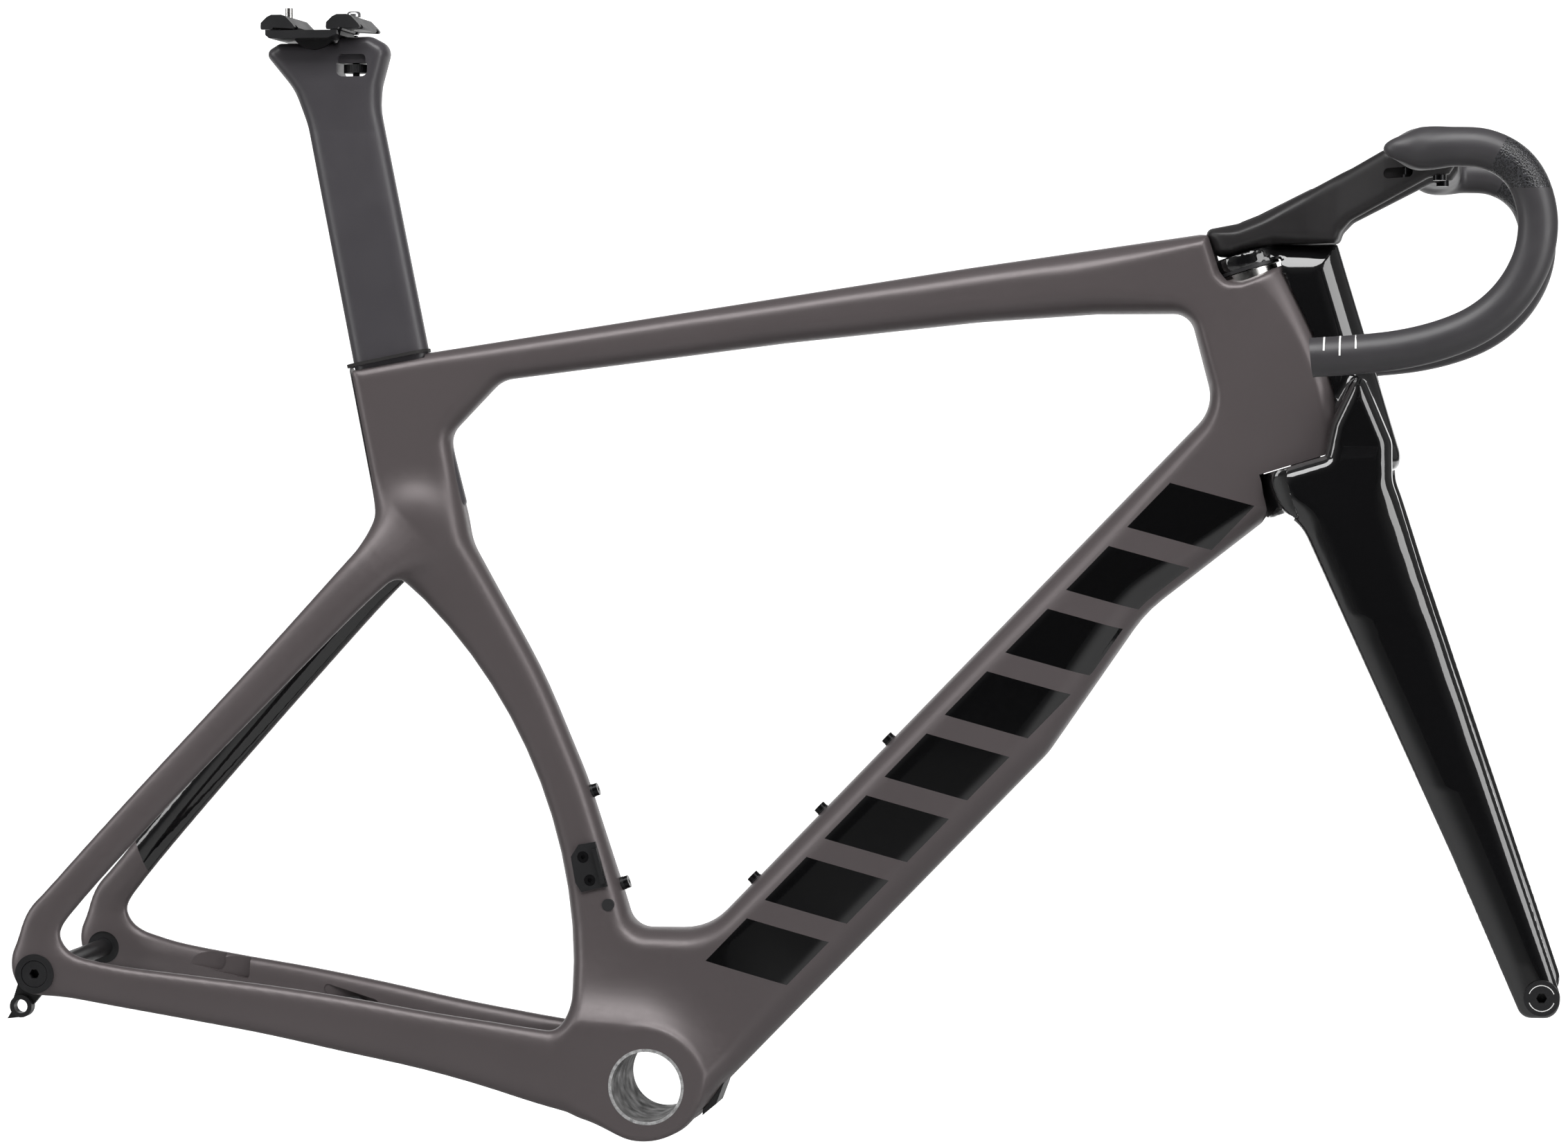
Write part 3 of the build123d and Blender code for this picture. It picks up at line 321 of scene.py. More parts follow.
# ---------------------------------------------------------------- frame
HEAD_TOP = 393.7
HEAD_BOTTOM = 266.6
NOSE = [(393, 25.6), (352, 32.0), (322, 34.3), (299, 34.6), (274, 31.6), (267, 30.0)]
NOSE_CURVE = np.polyfit([up for up, _ in NOSE], [ahead for _, ahead in NOSE], 3)
RECESS_R = 39.0

SEAT_TUBE_REAR = []
for degree in range(-11, 46, 4):
    turn = radians(degree)
    SEAT_TUBE_REAR.append((REAR_AXLE.x + WHEEL_R * cos(turn), REAR_AXLE.z + WHEEL_R * sin(turn), 0))

FRAME_EDGE = [
    (-206.0, 469.0, 2), (-152.0, 478.6, 0), (205.0, 532.8, 0), (363.5, 555.0, 2), (371.0, 531.0, 5),
    (376.0, 525.8, 4), (384.0, 525.8, 4), (*steer_point(44, HEAD_TOP - 2.2), 0),
    (*steer_point(46, HEAD_BOTTOM - 14), 0), (*steer_point(-24, HEAD_BOTTOM - 14), 0),
    (408.0, 374.0, 2), (398.0, 369.5, 4), (322.0, 310.0, 90), (259.0, 218.5, 50), (48.3, 0.7, 10),
    (38.0, -13.0, 6), (22.0, -27.0, 12), (-10.0, -31.0, 14), (-44.0, -17.5, 10),
    *SEAT_TUBE_REAR,
    (-172.0, 330.0, 8), (-196.0, 348.0, 8), (-186.8, 370.0, 14),
]
FRONT_TRIANGLE = [
    (350.2, 503.0, 14), (366.0, 442.7, 26), (35.5, 100.6, 42), (-14.5, 100.3, 15), (-21.2, 122.6, 0),
    (-45.6, 197.5, 300), (-74.6, 266.6, 400), (-124.0, 355.0, 42), (-138.0, 424.0, 15), (-103.0, 460.3, 20),
    (84.8, 484.2, 0), (213.5, 497.8, 300), (290.0, 502.8, 0),
]
FRAME_SECTIONS = [
    # x, z, half-width, rim
    (-179, 470, 13.5, 10), (-160, 400, 14, 12), (-165, 345, 18, 13),
    (-112, 300, 14, 13), (-77, 240, 14, 12.5),
    (-52, 180, 14.5, 12), (-38, 128, 16.0, 13), (-5, 85, 22.5, 13),
    (0, 0, 38.5, 15), (-50, 10, 37, 14), (66, 66, 28, 19),
    (130, 140, 27, 22), (215, 230, 27, 22), (300, 320, 26.5, 22), (370, 390, 25.5, 16),
    (-100, 472, 15, 11.5), (0, 487, 16, 12), (100, 500, 18.5, 13), (210, 515, 21, 14.5), (310, 527, 23.5, 18),
    (352, 545, 24, 7), (395, 470, 25.5, 12), (400, 525, 25, 4.5), (435, 415, 25.5, 4), (440, 470, 25, 7),
]
SEATSTAY = curve([
    # x, distance from the centre plane, z, depth, width
    (-397.5, 77.0, 86.0, 26.0, 9.5), (-395.0, 76.8, 104.0, 25.0, 10.5), (-380.0, 73.8, 124.0, 22.0, 11.5),
    (-330.0, 63.5, 180.5, 22.0, 13.0),
    (-250.0, 43.0, 267.5, 24.5, 14.5), (-191.0, 28.0, 331.5, 29.0, 18.0), (-158.0, 12.0, 364.0, 38.0, 20.0),
])
CHAINSTAY = curve([
    (-10.0, 31.5, 1.0, 58.0, 16.0), (-60.0, 30.2, 8.5, 50.0, 18.4), (-110.0, 33.5, 19.5, 42.0, 17.0),
    (-150.0, 38.5, 28.0, 37.5, 16.5), (-200.0, 45.0, 38.0, 35.5, 16.0), (-250.0, 52.5, 47.5, 32.0, 15.0),
    (-300.0, 60.0, 55.5, 29.0, 14.0), (-345.0, 69.5, 63.0, 26.5, 12.5), (-375.0, 77.0, 69.5, 27.5, 12.0),
    (-397.5, 77.2, 73.5, 32.0, 12.2),
])
frame_edge = Outline(FRAME_EDGE, FRONT_TRIANGLE)


def frame_field(x, y, z):
    """The bonded frame."""
    side = np.abs(y)
    ahead, up = steer_coordinates(x, z)
    half, rim = blended(FRAME_SECTIONS, 34.0, x, z)
    body = shell(frame_edge(x, z), y, half, rim)
    nose = np.sqrt(np.maximum(ahead, 0) ** 2 + y**2) - np.polyval(NOSE_CURVE, np.clip(up, 262, 398))
    body = np.where(ahead + 0 * y > -10, keep(body, nose, 2.5), body)
    barrel = keep(np.sqrt(x**2 + z**2) + 0 * y - 32.5, side - BB_HALF, 3.0)
    body = join(body, barrel, 8.0)
    stays = join(strut(CHAINSTAY, x, side, z, 2.8), strut(SEATSTAY, x, side, z, 2.4), 7.0)
    body = join(body, stays, 13.0)
    wheel = keep(np.hypot(x - REAR_AXLE.x, z - REAR_AXLE.z) + 0 * y - WHEEL_R + 2.5, side - 21.5, 8.0)
    body = keep(body, -wheel, 4.0)
    return keep(body, side - BB_HALF - np.maximum(0, -x - 60) * 0.3, 1.5)


# ---------------------------------------------------------------- fork
CROWN_TOP = 266.1
CROWN_R = 34.5
ARM_BOTTOM = 395.5
COLUMN = [
    (444.6, 547.6, 2), (404.0, 547.6, 4), (379.5, 540.6, 2), (*steer_point(-21.5, ARM_BOTTOM), 2),
    (*steer_point(4, ARM_BOTTOM), 0), (*steer_point(4, 262), 0), (*steer_point(10, 252), 0),
    (*steer_point(14, 226), 10), (*steer_point(49.0, 222), 30),
    (*steer_point(51.0, 236), 20), (*steer_point(59.6, 252), 16), (*steer_point(59.6, 285), 60),
]
BLADE_EDGE = [
    (564.0, 58.5, 9), (584.0, 58.5, 12), (589.3, 70.0, 14), (500.0, 337.0, 0), (485.0, 385.0, 60),
    (*steer_point(50.5, 238), 20), (*steer_point(57.5, 262), 14), (*steer_point(52, 316), 6),
    (*steer_point(24, 285), 0), (*steer_point(14, CROWN_TOP + 1), 0),
    (*steer_point(-24.5, CROWN_TOP + 1), 13),
    (*steer_point(-24.5, 243), 8), (424.0, 368.0, 30), (450.0, 312.0, 0), (519.5, 161.0, 0),
]
BLADE_LINE = [
    # z, distance from the centre plane, half-width
    (72, 55.0, 5.4), (93, 55.0, 5.6), (203, 52.5, 7.6),
    (312, 46.5, 9.6), (372, 38.5, 11.5), (420, 29.0, 13.0),
]
column_edge = Outline(COLUMN)
blade_edge = Outline(BLADE_EDGE)


def fork_field(x, y, z):
    """The fork: external column, crown and both blades."""
    side = np.abs(y)
    ahead, up = steer_coordinates(x, z)
    column_half = 19.5 + 4.5 * np.clip((300 - up) / 60, 0, 1)
    column = shell(column_edge(x, z), y, column_half, 25.0, 2.0)
    nose = np.polyval(NOSE_CURVE, np.clip(up, 262, ARM_BOTTOM)) + 1.1
    hollow = keep(np.hypot(ahead, y) - nose, np.abs(up - 328.9) - 66.6 + 0 * y, 1.5)
    column = keep(column, -hollow, 1.2)
    arm = keep(np.hypot(ahead, y) - 21.5, np.abs(up - 400.6) - 5.1 + 0 * y, 2.5)
    disc = keep(np.hypot(ahead, y) - CROWN_R, np.abs(up - 252.0) + 0 * y - 15.0, 4.0)
    heights = [row[0] for row in BLADE_LINE]
    middle_y = np.interp(z, heights, [row[1] for row in BLADE_LINE])
    half = np.interp(z, heights, [row[2] for row in BLADE_LINE])
    rim = np.interp(z, (60, 93, 203, 300, 372, 400), (6.0, 13.0, 20.0, 26.0, 24.0, 10.0))
    blade = shell(blade_edge(x, z), side - middle_y, half, rim, 2.1)
    radial = np.hypot(ahead, y)
    above = CROWN_TOP - up + 0 * y
    shoulder = join(disc, blade, 7.0)
    shoulder = keep(shoulder, -np.maximum(above, np.minimum(radial - 36.5, ahead - 15.0)), 0.8)
    body = join(join(column, arm, 2.0), shoulder, 9.0)
    body = keep(body, -np.maximum(above, np.maximum(radial - nose, up - ARM_BOTTOM + 0.1)), 0.8)
    swing = np.maximum(RECESS_R - 0.9 - radial, ahead + 0.28 * radial)
    body = keep(body, -np.maximum(swing, np.abs(up - 252.0) - 18.0), 2.0)
    wheel = keep(np.hypot(x - FRONT_AXLE.x, z - FRONT_AXLE.z) + 0 * y - WHEEL_R, side - 27.0, 8.0)
    return keep(body, -wheel, 4.0)


# ---------------------------------------------------------------- stem, bar and seatpost
STEM_EDGE = [
    (361.0, 555.6, 3), (367.5, 541.0, 5), (377.5, 540.6, 2), (404.0, 548.7, 3), (444.6, 548.7, 3),
    (446.8, 555.0, 5), (453.5, 561.5, 10), (503.0, 587.7, 4), (516.2, 589.7, 2), (520.0, 595.5, 1.5),
    (520.5, 603.0, 2), (474.5, 606.0, 3),
    (433.0, 583.4, 120), (394.0, 564.2, 60), (381.0, 559.3, 20),
]
stem_edge = Outline(STEM_EDGE)


def stem_field(x, y, z):
    """The stem: a body over the fork's arm that forks into two arms towards the bar."""
    inset = stem_edge(x, z)
    middle_y = np.interp(x, (400, 425, 475, 519), (5.0, 11.0, 33.0, 50.0))
    arms = shell(inset, np.abs(y) - middle_y, 8.0, 7.0, 2.6)
    body_half = np.interp(x, (362, 380, 446), (24.0, 21.0, 19.5))
    body = keep(shell(inset, y, body_half, 7.0, 2.6), x - 452 + 0 * y, 8.0)
    ahead, _ = steer_coordinates(x, z)
    body = keep(body, np.hypot(np.minimum(ahead, 0), y) - 22.6, 2.0)
    return join(arms, body, 6.0)


DROP_Y = 200.0
BAR_R = 11.9
BAR_END_X, BAR_END_Z = 437.3, 473.6
LAST_BEND_X, LAST_BEND_Z = 463.0, 475.3
DROP_LINE = curve([
    (500.5, 184.0, 598.9), (508.0, 195.5, 599.3), (522.0, DROP_Y, 599.6), (540.0, DROP_Y, 598.2),
    (555.5, DROP_Y, 590.5), (566.0, DROP_Y, 577.5), (571.3, DROP_Y, 558.0), (569.8, DROP_Y, 538.0),
    (562.5, DROP_Y, 520.0), (550.5, DROP_Y, 504.5), (534.5, DROP_Y, 492.5), (514.0, DROP_Y, 484.0),
    (490.0, DROP_Y, 478.3), (LAST_BEND_X, DROP_Y, LAST_BEND_Z), (BAR_END_X, DROP_Y, BAR_END_Z),
], 5)


def bar_field(x, y, z):
    """The bar: a wing between the drops and a round tube round each hook."""
    side = np.abs(y)
    centre_z = np.interp(side, (0, 60, 120, 190), (607.5, 606.5, 602.5, 599.0))
    half_chord = np.interp(side, (0, 150, 190), (23.0, 21.5, 20.0))
    fullness = np.interp(side, (0, 150, 190), (8.7, 9.8, 11.2))
    along = np.clip((x - 499.5) / half_chord, -1.2, 1.2)
    half_thick = fullness * np.interp(along, (-1.2, -0.9, 0.1, 1.2), (0.40, 0.52, 1.0, 1.0))
    wing = (np.abs(along) ** 4 + (np.abs(z - centre_z) / half_thick) ** 2.4) ** (1 / 3) - 1
    wing = keep(wing * half_thick, side - 203, 10.0)
    best = np.full(np.broadcast(x, side, z).shape, 1e9)
    for a, b in zip(DROP_LINE[:-1], DROP_LINE[1:]):
        d = b - a
        t = ((x - a[0]) * d[0] + (side - a[1]) * d[1] + (z - a[2]) * d[2]) / (d @ d)
        t = np.clip(t, 0, 1)
        square = (x - a[0] - t * d[0]) ** 2 + (side - a[1] - t * d[1]) ** 2 + (z - a[2] - t * d[2]) ** 2
        best = np.minimum(best, square)
    return join(wing, np.sqrt(best) - BAR_R, 5.0)


POST_EDGE = [
    (-158.5, 371.0, 4), (-126.4, 377.0, 4), (-152.3, 478.8, 0), (-184.6, 640.0, 60), (-183.5, 654.0, 20),
    (-176.6, 680.0, 9), (-190.0, 687.2, 10), (-211.0, 686.8, 2), (-213.0, 683.2, 1), (-252.0, 683.2, 3),
    (-262.5, 677.0, 7), (-242.0, 652.0, 40), (-233.5, 629.0, 60), (-203.0, 471.3, 0), (-183.0, 370.0, 4),
]
post_edge = Outline(POST_EDGE)


def post_field(x, y, z):
    """The aero seatpost with its flared head."""
    half = np.interp(z, (360, 625, 655, 700), (10.0, 10.0, 12.3, 12.5))
    rim = np.interp(z, (360, 640, 675, 692), (12.0, 12.0, 8.0, 3.5))
    return shell(post_edge(x, z), y, half, rim, 2.2)


# ---------------------------------------------------------------- materials
def new_material(name):
    """A material with its node tree, principled shader and object coordinates."""
    material = bpy.data.materials.new(name)
    material.use_nodes = True
    tree = material.node_tree
    principled = tree.nodes["Principled BSDF"]
    coordinates = tree.nodes.new("ShaderNodeTexCoord")
    return material, tree, principled, coordinates.outputs["Object"]


def noise(tree, coordinates, scale, detail=3.0, roughness=0.5):
    """Noise from 0 to 1, finer with a larger scale."""
    node = tree.nodes.new("ShaderNodeTexNoise")
    node.inputs["Scale"].default_value = scale
    node.inputs["Detail"].default_value = detail
    node.inputs["Roughness"].default_value = roughness
    tree.links.new(coordinates, node.inputs["Vector"])
    return node.outputs["Fac"]


def span(tree, value, low, high):
    """Map 0..1 noise onto a range."""
    node = tree.nodes.new("ShaderNodeMapRange")
    node.inputs["From Min"].default_value = 0.25
    node.inputs["From Max"].default_value = 0.75
    node.inputs["To Min"].default_value = low
    node.inputs["To Max"].default_value = high
    tree.links.new(value, node.inputs["Value"])
    return node.outputs["Result"]


def calculate(tree, operation, a, b=0.0, c=0.0):
    """One maths node on sockets or numbers."""
    node = tree.nodes.new("ShaderNodeMath")
    node.operation = operation
    for socket, value in zip(node.inputs, (a, b, c)):
        if isinstance(value, (int, float)):
            socket.default_value = value
        else:
            tree.links.new(value, socket)
    return node.outputs["Value"]


def product(tree, *values):
    """Several sockets or numbers multiplied together."""
    result = values[0]
    for value in values[1:]:
        result = calculate(tree, "MULTIPLY", result, value)
    return result


def slanted(tree, x, x_share, z, z_share):
    """A distance along a slanting direction in the side view."""
    return calculate(tree, "ADD", product(tree, x, x_share), product(tree, z, z_share))


def tint(tree, colour, share):
    """A colour scaled by a brightness socket."""
    node = tree.nodes.new("ShaderNodeMix")
    node.data_type = "RGBA"
    node.blend_type = "MULTIPLY"
    node.inputs["Factor"].default_value = 1.0
    node.inputs[6].default_value = (*colour, 1)
    tree.links.new(share, node.inputs[7])
    return node.outputs[2]


def mixed(tree, mask, a, b):
    """Colour a where the mask is 0 and b where it is 1; each is a socket or a colour."""
    node = tree.nodes.new("ShaderNodeMix")
    node.data_type = "RGBA"
    tree.links.new(mask, node.inputs["Factor"])
    for socket, value in ((node.inputs[6], a), (node.inputs[7], b)):
        if isinstance(value, tuple):
            socket.default_value = (*value, 1)
        else:
            tree.links.new(value, socket)
    return node.outputs[2]


def bump(tree, principled, height, strength, distance):
    """Raise the surface a little by a height socket."""
    node = tree.nodes.new("ShaderNodeBump")
    node.inputs["Strength"].default_value = strength
    node.inputs["Distance"].default_value = distance
    tree.links.new(height, node.inputs["Height"])
    tree.links.new(node.outputs["Normal"], principled.inputs["Normal"])


def separate(tree, coordinates):
    """The x, y and z of a vector socket."""
    node = tree.nodes.new("ShaderNodeSeparateXYZ")
    tree.links.new(coordinates, node.inputs["Vector"])
    return node.outputs["X"], node.outputs["Y"], node.outputs["Z"]


def coated(name, colour, rough, grain, metallic=0.0, coat=0.0, mottle=0.08, relief=0.06, specular=0.5):
    """A painted, anodised or moulded finish with fine grain and slight unevenness."""
    material, tree, principled, place = new_material(name)
    patches = span(tree, noise(tree, place, 22.0), 1 - mottle, 1 + mottle)
    tree.links.new(tint(tree, colour, patches), principled.inputs["Base Color"])
    uneven = span(tree, noise(tree, place, 60.0), rough * 0.9, rough * 1.12)
    tree.links.new(uneven, principled.inputs["Roughness"])
    principled.inputs["Metallic"].default_value = metallic
    principled.inputs["Coat Weight"].default_value = coat
    principled.inputs["Coat Roughness"].default_value = 0.03
    principled.inputs["Specular IOR Level"].default_value = specular
    bump(tree, principled, noise(tree, place, grain, 2.0), relief, 0.0002)
    return material


GRAPHIC_SLOPE = radians(46)
GRAPHIC_MIDDLE = 0.0055
GRAPHIC_HALF_HEIGHT = 0.0245
GRAPHIC_START, GRAPHIC_END = 0.098, 0.535
GRAPHIC_PITCH = 0.0565
GRAPHIC_LEAN = 0.55
GRAPHIC_SHARE = 0.70
SIDE_FACING = 0.62


def down_tube_graphic(tree, x, z, facing):
    """A mask of slanting bars along the sides of the down tube."""
    along = slanted(tree, x, cos(GRAPHIC_SLOPE), z, sin(GRAPHIC_SLOPE))
    across = slanted(tree, x, -sin(GRAPHIC_SLOPE), z, cos(GRAPHIC_SLOPE))
    centred = calculate(tree, "SUBTRACT", across, GRAPHIC_MIDDLE)
    leaned = calculate(tree, "ADD", along, product(tree, centred, GRAPHIC_LEAN))
    past_start = calculate(tree, "SUBTRACT", leaned, GRAPHIC_START)
    phase = calculate(tree, "FRACT", calculate(tree, "DIVIDE", past_start, GRAPHIC_PITCH))
    bars = calculate(tree, "LESS_THAN", phase, GRAPHIC_SHARE)
    inside = calculate(tree, "LESS_THAN", calculate(tree, "ABSOLUTE", centred), GRAPHIC_HALF_HEIGHT)
    started = calculate(tree, "GREATER_THAN", leaned, GRAPHIC_START)
    ended = calculate(tree, "LESS_THAN", leaned, GRAPHIC_END)
    sideways = calculate(tree, "GREATER_THAN", calculate(tree, "ABSOLUTE", facing), SIDE_FACING)
    return product(tree, bars, inside, started, ended, sideways)


def stay_panel(tree, x, y, z, facing):
    """A mask of the inner face of the left seatstay."""
    inward = calculate(tree, "LESS_THAN", facing, -0.45)
    on_left = calculate(tree, "GREATER_THAN", y, 0.02)
    ahead_of_dropout = calculate(tree, "GREATER_THAN", slanted(tree, x, 1.0, z, 0.4), -0.316)
    above_chainstay = calculate(tree, "GREATER_THAN", z, 0.1)
    return product(tree, inward, on_left, ahead_of_dropout, above_chainstay)


def frame_paint():
    """Matte graphite paint with a gloss-black graphic and a gloss panel inside the left stay."""
    material, tree, principled, place = new_material("frame_paint")
    x, y, z = separate(tree, place)
    geometry = tree.nodes.new("ShaderNodeNewGeometry")
    _, facing, _ = separate(tree, geometry.outputs["Normal"])
    graphic = down_tube_graphic(tree, x, z, facing)
    mask = calculate(tree, "MAXIMUM", graphic, stay_panel(tree, x, y, z, facing))
    patches = span(tree, noise(tree, place, 9.0, 2.0), 0.96, 1.04)
    paint = tint(tree, PAINT, patches)
    tree.links.new(mixed(tree, mask, paint, GLOSS_BLACK), principled.inputs["Base Color"])
    matte = span(tree, noise(tree, place, 350.0, 2.0), 0.36, 0.43)
    tree.links.new(calculate(tree, "MULTIPLY_ADD", mask, -0.3, matte), principled.inputs["Roughness"])
    tree.links.new(mask, principled.inputs["Coat Weight"])
    principled.inputs["Coat Roughness"].default_value = 0.05
    principled.inputs["Metallic"].default_value = 0.35
    unglossed = calculate(tree, "SUBTRACT", 1.0, mask)
    flecks = product(tree, noise(tree, place, 2600.0, 1.0), unglossed)
    bump(tree, principled, flecks, 0.05, 0.0001)
    return material


def bar_finish():
    """Matte grey bar with a rough gritty grip zone round the outside of each hook."""
    material, tree, principled, place = new_material("bar_finish")
    x, _, z = separate(tree, place)
    above_low_edge = calculate(tree, "GREATER_THAN", z, 0.5745)
    outside_top_edge = calculate(tree, "GREATER_THAN", slanted(tree, x, 1.0, z, -0.55), 0.2205)
    grip = product(tree, above_low_edge, outside_top_edge)
    cells = tree.nodes.new("ShaderNodeTexVoronoi")
    cells.inputs["Scale"].default_value = 850.0
    tree.links.new(place, cells.inputs["Vector"])
    grit = span(tree, cells.outputs["Distance"], 0.25, 1.9)
    patches = span(tree, noise(tree, place, 30.0), 0.93, 1.07)
    gritty = tint(tree, (0.020, 0.020, 0.022), grit)
    tree.links.new(mixed(tree, grip, tint(tree, BAR_GREY, patches), gritty), principled.inputs["Base Color"])
    matte = span(tree, noise(tree, place, 90.0), 0.40, 0.48)
    tree.links.new(calculate(tree, "MULTIPLY_ADD", grip, -0.16, matte), principled.inputs["Roughness"])
    fine_grain = product(tree, noise(tree, place, 1600.0), 0.05)
    relief = calculate(tree, "ADD", product(tree, grip, grit), fine_grain)
    bump(tree, principled, relief, 0.5, 0.0003)
    return material


def raw_shell():
    """The raw bore of the bottom bracket: scuffed bright rims and a dark mottled wall."""
    material, tree, principled, place = new_material("raw_bore")
    _, y, _ = separate(tree, place)
    rim = calculate(tree, "GREATER_THAN", calculate(tree, "ABSOLUTE", y), BB_HALF * MM - 0.0004)
    scuffs = span(tree, noise(tree, place, 260.0, 6.0, 0.7), 0.25, 1.6)
    wall = tint(tree, (0.045, 0.043, 0.042), scuffs)
    bright = tint(tree, (0.42, 0.42, 0.42), scuffs)
    tree.links.new(mixed(tree, rim, wall, bright), principled.inputs["Base Color"])
    tree.links.new(span(tree, noise(tree, place, 130.0, 4.0), 0.35, 0.7), principled.inputs["Roughness"])
    principled.inputs["Metallic"].default_value = 0.4
    bump(tree, principled, noise(tree, place, 200.0, 6.0, 0.7), 0.4, 0.0004)
    return material


def machined(name, colour, rough):
    """Bare metal with fine turning marks."""
    material, tree, principled, place = new_material(name)
    wave = tree.nodes.new("ShaderNodeTexWave")
    wave.inputs["Scale"].default_value = 700.0
    wave.inputs["Distortion"].default_value = 1.5
    tree.links.new(place, wave.inputs["Vector"])
    shade = span(tree, noise(tree, place, 180.0, 4.0), 0.82, 1.12)
    tree.links.new(tint(tree, colour, shade), principled.inputs["Base Color"])
    uneven = span(tree, noise(tree, place, 300.0), rough * 0.8, rough * 1.3)
    tree.links.new(uneven, principled.inputs["Roughness"])
    principled.inputs["Metallic"].default_value = 1.0
    bump(tree, principled, wave.outputs["Fac"], 0.12, 0.0001)
    return material


PAINT = (0.098, 0.084, 0.086)
GLOSS_BLACK = (0.0042, 0.0042, 0.0046)
BAR_GREY = (0.036, 0.034, 0.037)
MATERIALS = {
    "frame_matte": frame_paint(),
    "fork_gloss": coated("fork_gloss", GLOSS_BLACK, 0.08, 60.0, coat=1.0, mottle=0.03, relief=0.01),
    "stem_matte": coated("stem_matte", (0.014, 0.0128, 0.0135), 0.42, 1500.0, specular=0.4),
    "bar_matte": bar_finish(),
    "post_satin": coated("post_satin", (0.046, 0.043, 0.048), 0.38, 1800.0, mottle=0.05),
    "black_alloy": coated("black_alloy", (0.012, 0.012, 0.013), 0.42, 2200.0, metallic=0.2),
    "raw_alloy": machined("raw_alloy", (0.55, 0.55, 0.56), 0.3),
    "black_steel": coated("black_steel", (0.010, 0.010, 0.011), 0.26, 2600.0, metallic=0.7),
    "bright_steel": machined("bright_steel", (0.72, 0.71, 0.69), 0.2),
    "black_plastic": coated("black_plastic", (0.016, 0.016, 0.017), 0.42, 1300.0),
    "rubber_black": coated("rubber_black", (0.017, 0.016, 0.016), 0.62, 900.0, specular=0.3),
}
RAW_BORE = raw_shell()

for part in record["subparts"]:
    node = frame["nodes"][part["node"]]
    node.data.materials.clear()
    node.data.materials.append(RAW_BORE if part["node"] == "bb_sleeve" else MATERIALS[part["material_slot"]])
    node.data.polygons.foreach_set("use_smooth", [True] * len(node.data.polygons))
    node.data.set_sharp_from_angle(angle=radians(30))

# ---------------------------------------------------------------- build the shells
POST_LEAN = radians(11.3)
POST_UP = Vector((-sin(POST_LEAN), 0, cos(POST_LEAN)))
POST_AHEAD = Vector((POST_UP.z, 0, -POST_UP.x))
POST_MOUTH = Vector((-179.2, 0, 473.4))
SOCKET_HALF_CHORD = 25.9
SOCKET_HALF_WIDTH = 10.5


def socket_prism():
    """The post's socket: a slot down the seat tube from just above its mouth."""
    corners = []
    for depth, reach in ((-20, -1), (-20, 1), (130, 1), (130, -1)):
        corner = POST_MOUTH - POST_UP * depth + POST_AHEAD * (reach * SOCKET_HALF_CHORD)
        corners.append((corner.x, corner.z, 3))
    return prism(corners, -SOCKET_HALF_WIDTH, SOCKET_HALF_WIDTH)


frame_shell = skin("frame_shell", frame_field, (-424, 0, -42), (466, 92, 566), VOXEL)
brake_recess = [(-330.0, 62.0, 3), (-290.0, 54.0, 3), (-290.0, 90.0, 3), (-330.0, 96.0, 3)]
hose_recess = [(-236.0, 46.5, 5), (-197.0, 37.5, 3), (-197.0, 43.5, 3), (-236.0, 54.0, 5)]
frame_cutters = [
    crosswise(Vector((0, 0, 0)), -60, 60, BB_SLEEVE_R),
    rod(steer_at(190), steer_at(HEAD_BOTTOM), RECESS_R),
    rod(steer_at(HEAD_TOP - 2.2), steer_at(HEAD_TOP + 60), 23.5),
    socket_prism(),
    prism(brake_recess, 44.0, 56.8),
    prism(hose_recess, 30.0, 43.5),
    crosswise(REAR_AXLE, -60, -95, 11.0),
    crosswise(REAR_AXLE, 60, 95, 11.0),
]
cut(frame_shell, frame_cutters)
brake_step = [(-347.0, 66.0, 6), (-308.0, 58.0, 6), (-308.0, 90.0, 6), (-347.0, 99.0, 6)]
cut(frame_shell, [prism(brake_step, 50.0, 60.6)])
FRAME_NODES = ["head_tube", "top_tube", "down_tube", "seat_tube", "bb_shell"]
FRAME_NODES += ["chainstay_left", "chainstay_right", "seatstay_left", "seatstay_right"]
FRAME_NODES += ["dropout_left", "dropout_right"]
finish_piece(frame_shell, "frame", FRAME_NODES, MATERIALS["frame_matte"])

fork_shell = skin("fork_shell", fork_field, (370, 0, 52), (594, 66, 556), VOXEL)
fork_cutters = [
    rod(steer_at(200), steer_at(300), 10.2),
    rod(steer_at(390), steer_at(409), 8.4),
    crosswise(FRONT_AXLE, -80, 80, 6.2),
]
cut(fork_shell, fork_cutters)
FORK_NODES = ["fork_column", "fork_crown", "fork_blade_left", "fork_blade_right"]
FORK_NODES += ["fork_tip_left", "fork_tip_right"]
finish_piece(fork_shell, "front_end", FORK_NODES, MATERIALS["fork_gloss"])

stem_shell = skin("stem_shell", stem_field, (358, 0, 534), (526, 62, 610), FINE_VOXEL)
stem_cutters = []
for side in (-1, 1):
    for x_low, x_high, z, radius in ((478.0, 490.0, 590.8, 3.3), (505.0, 516.0, 595.2, 2.4)):
        outline = [(x_low - radius, z - radius, radius), (x_high + radius, z - radius + 1.0, radius)]
        outline += [(x_high + radius, z + radius + 1.0, radius), (x_low - radius, z + radius, radius)]
        outer_y = np.interp((x_low + x_high) / 2, (475, 519), (33.0, 50.0)) + 3.0
        stem_cutters.append(prism(outline, *sorted((side * outer_y, side * (outer_y + 20)))))
cut(stem_shell, stem_cutters)
finish_piece(stem_shell, "front_end", ["stem"], MATERIALS["stem_matte"])

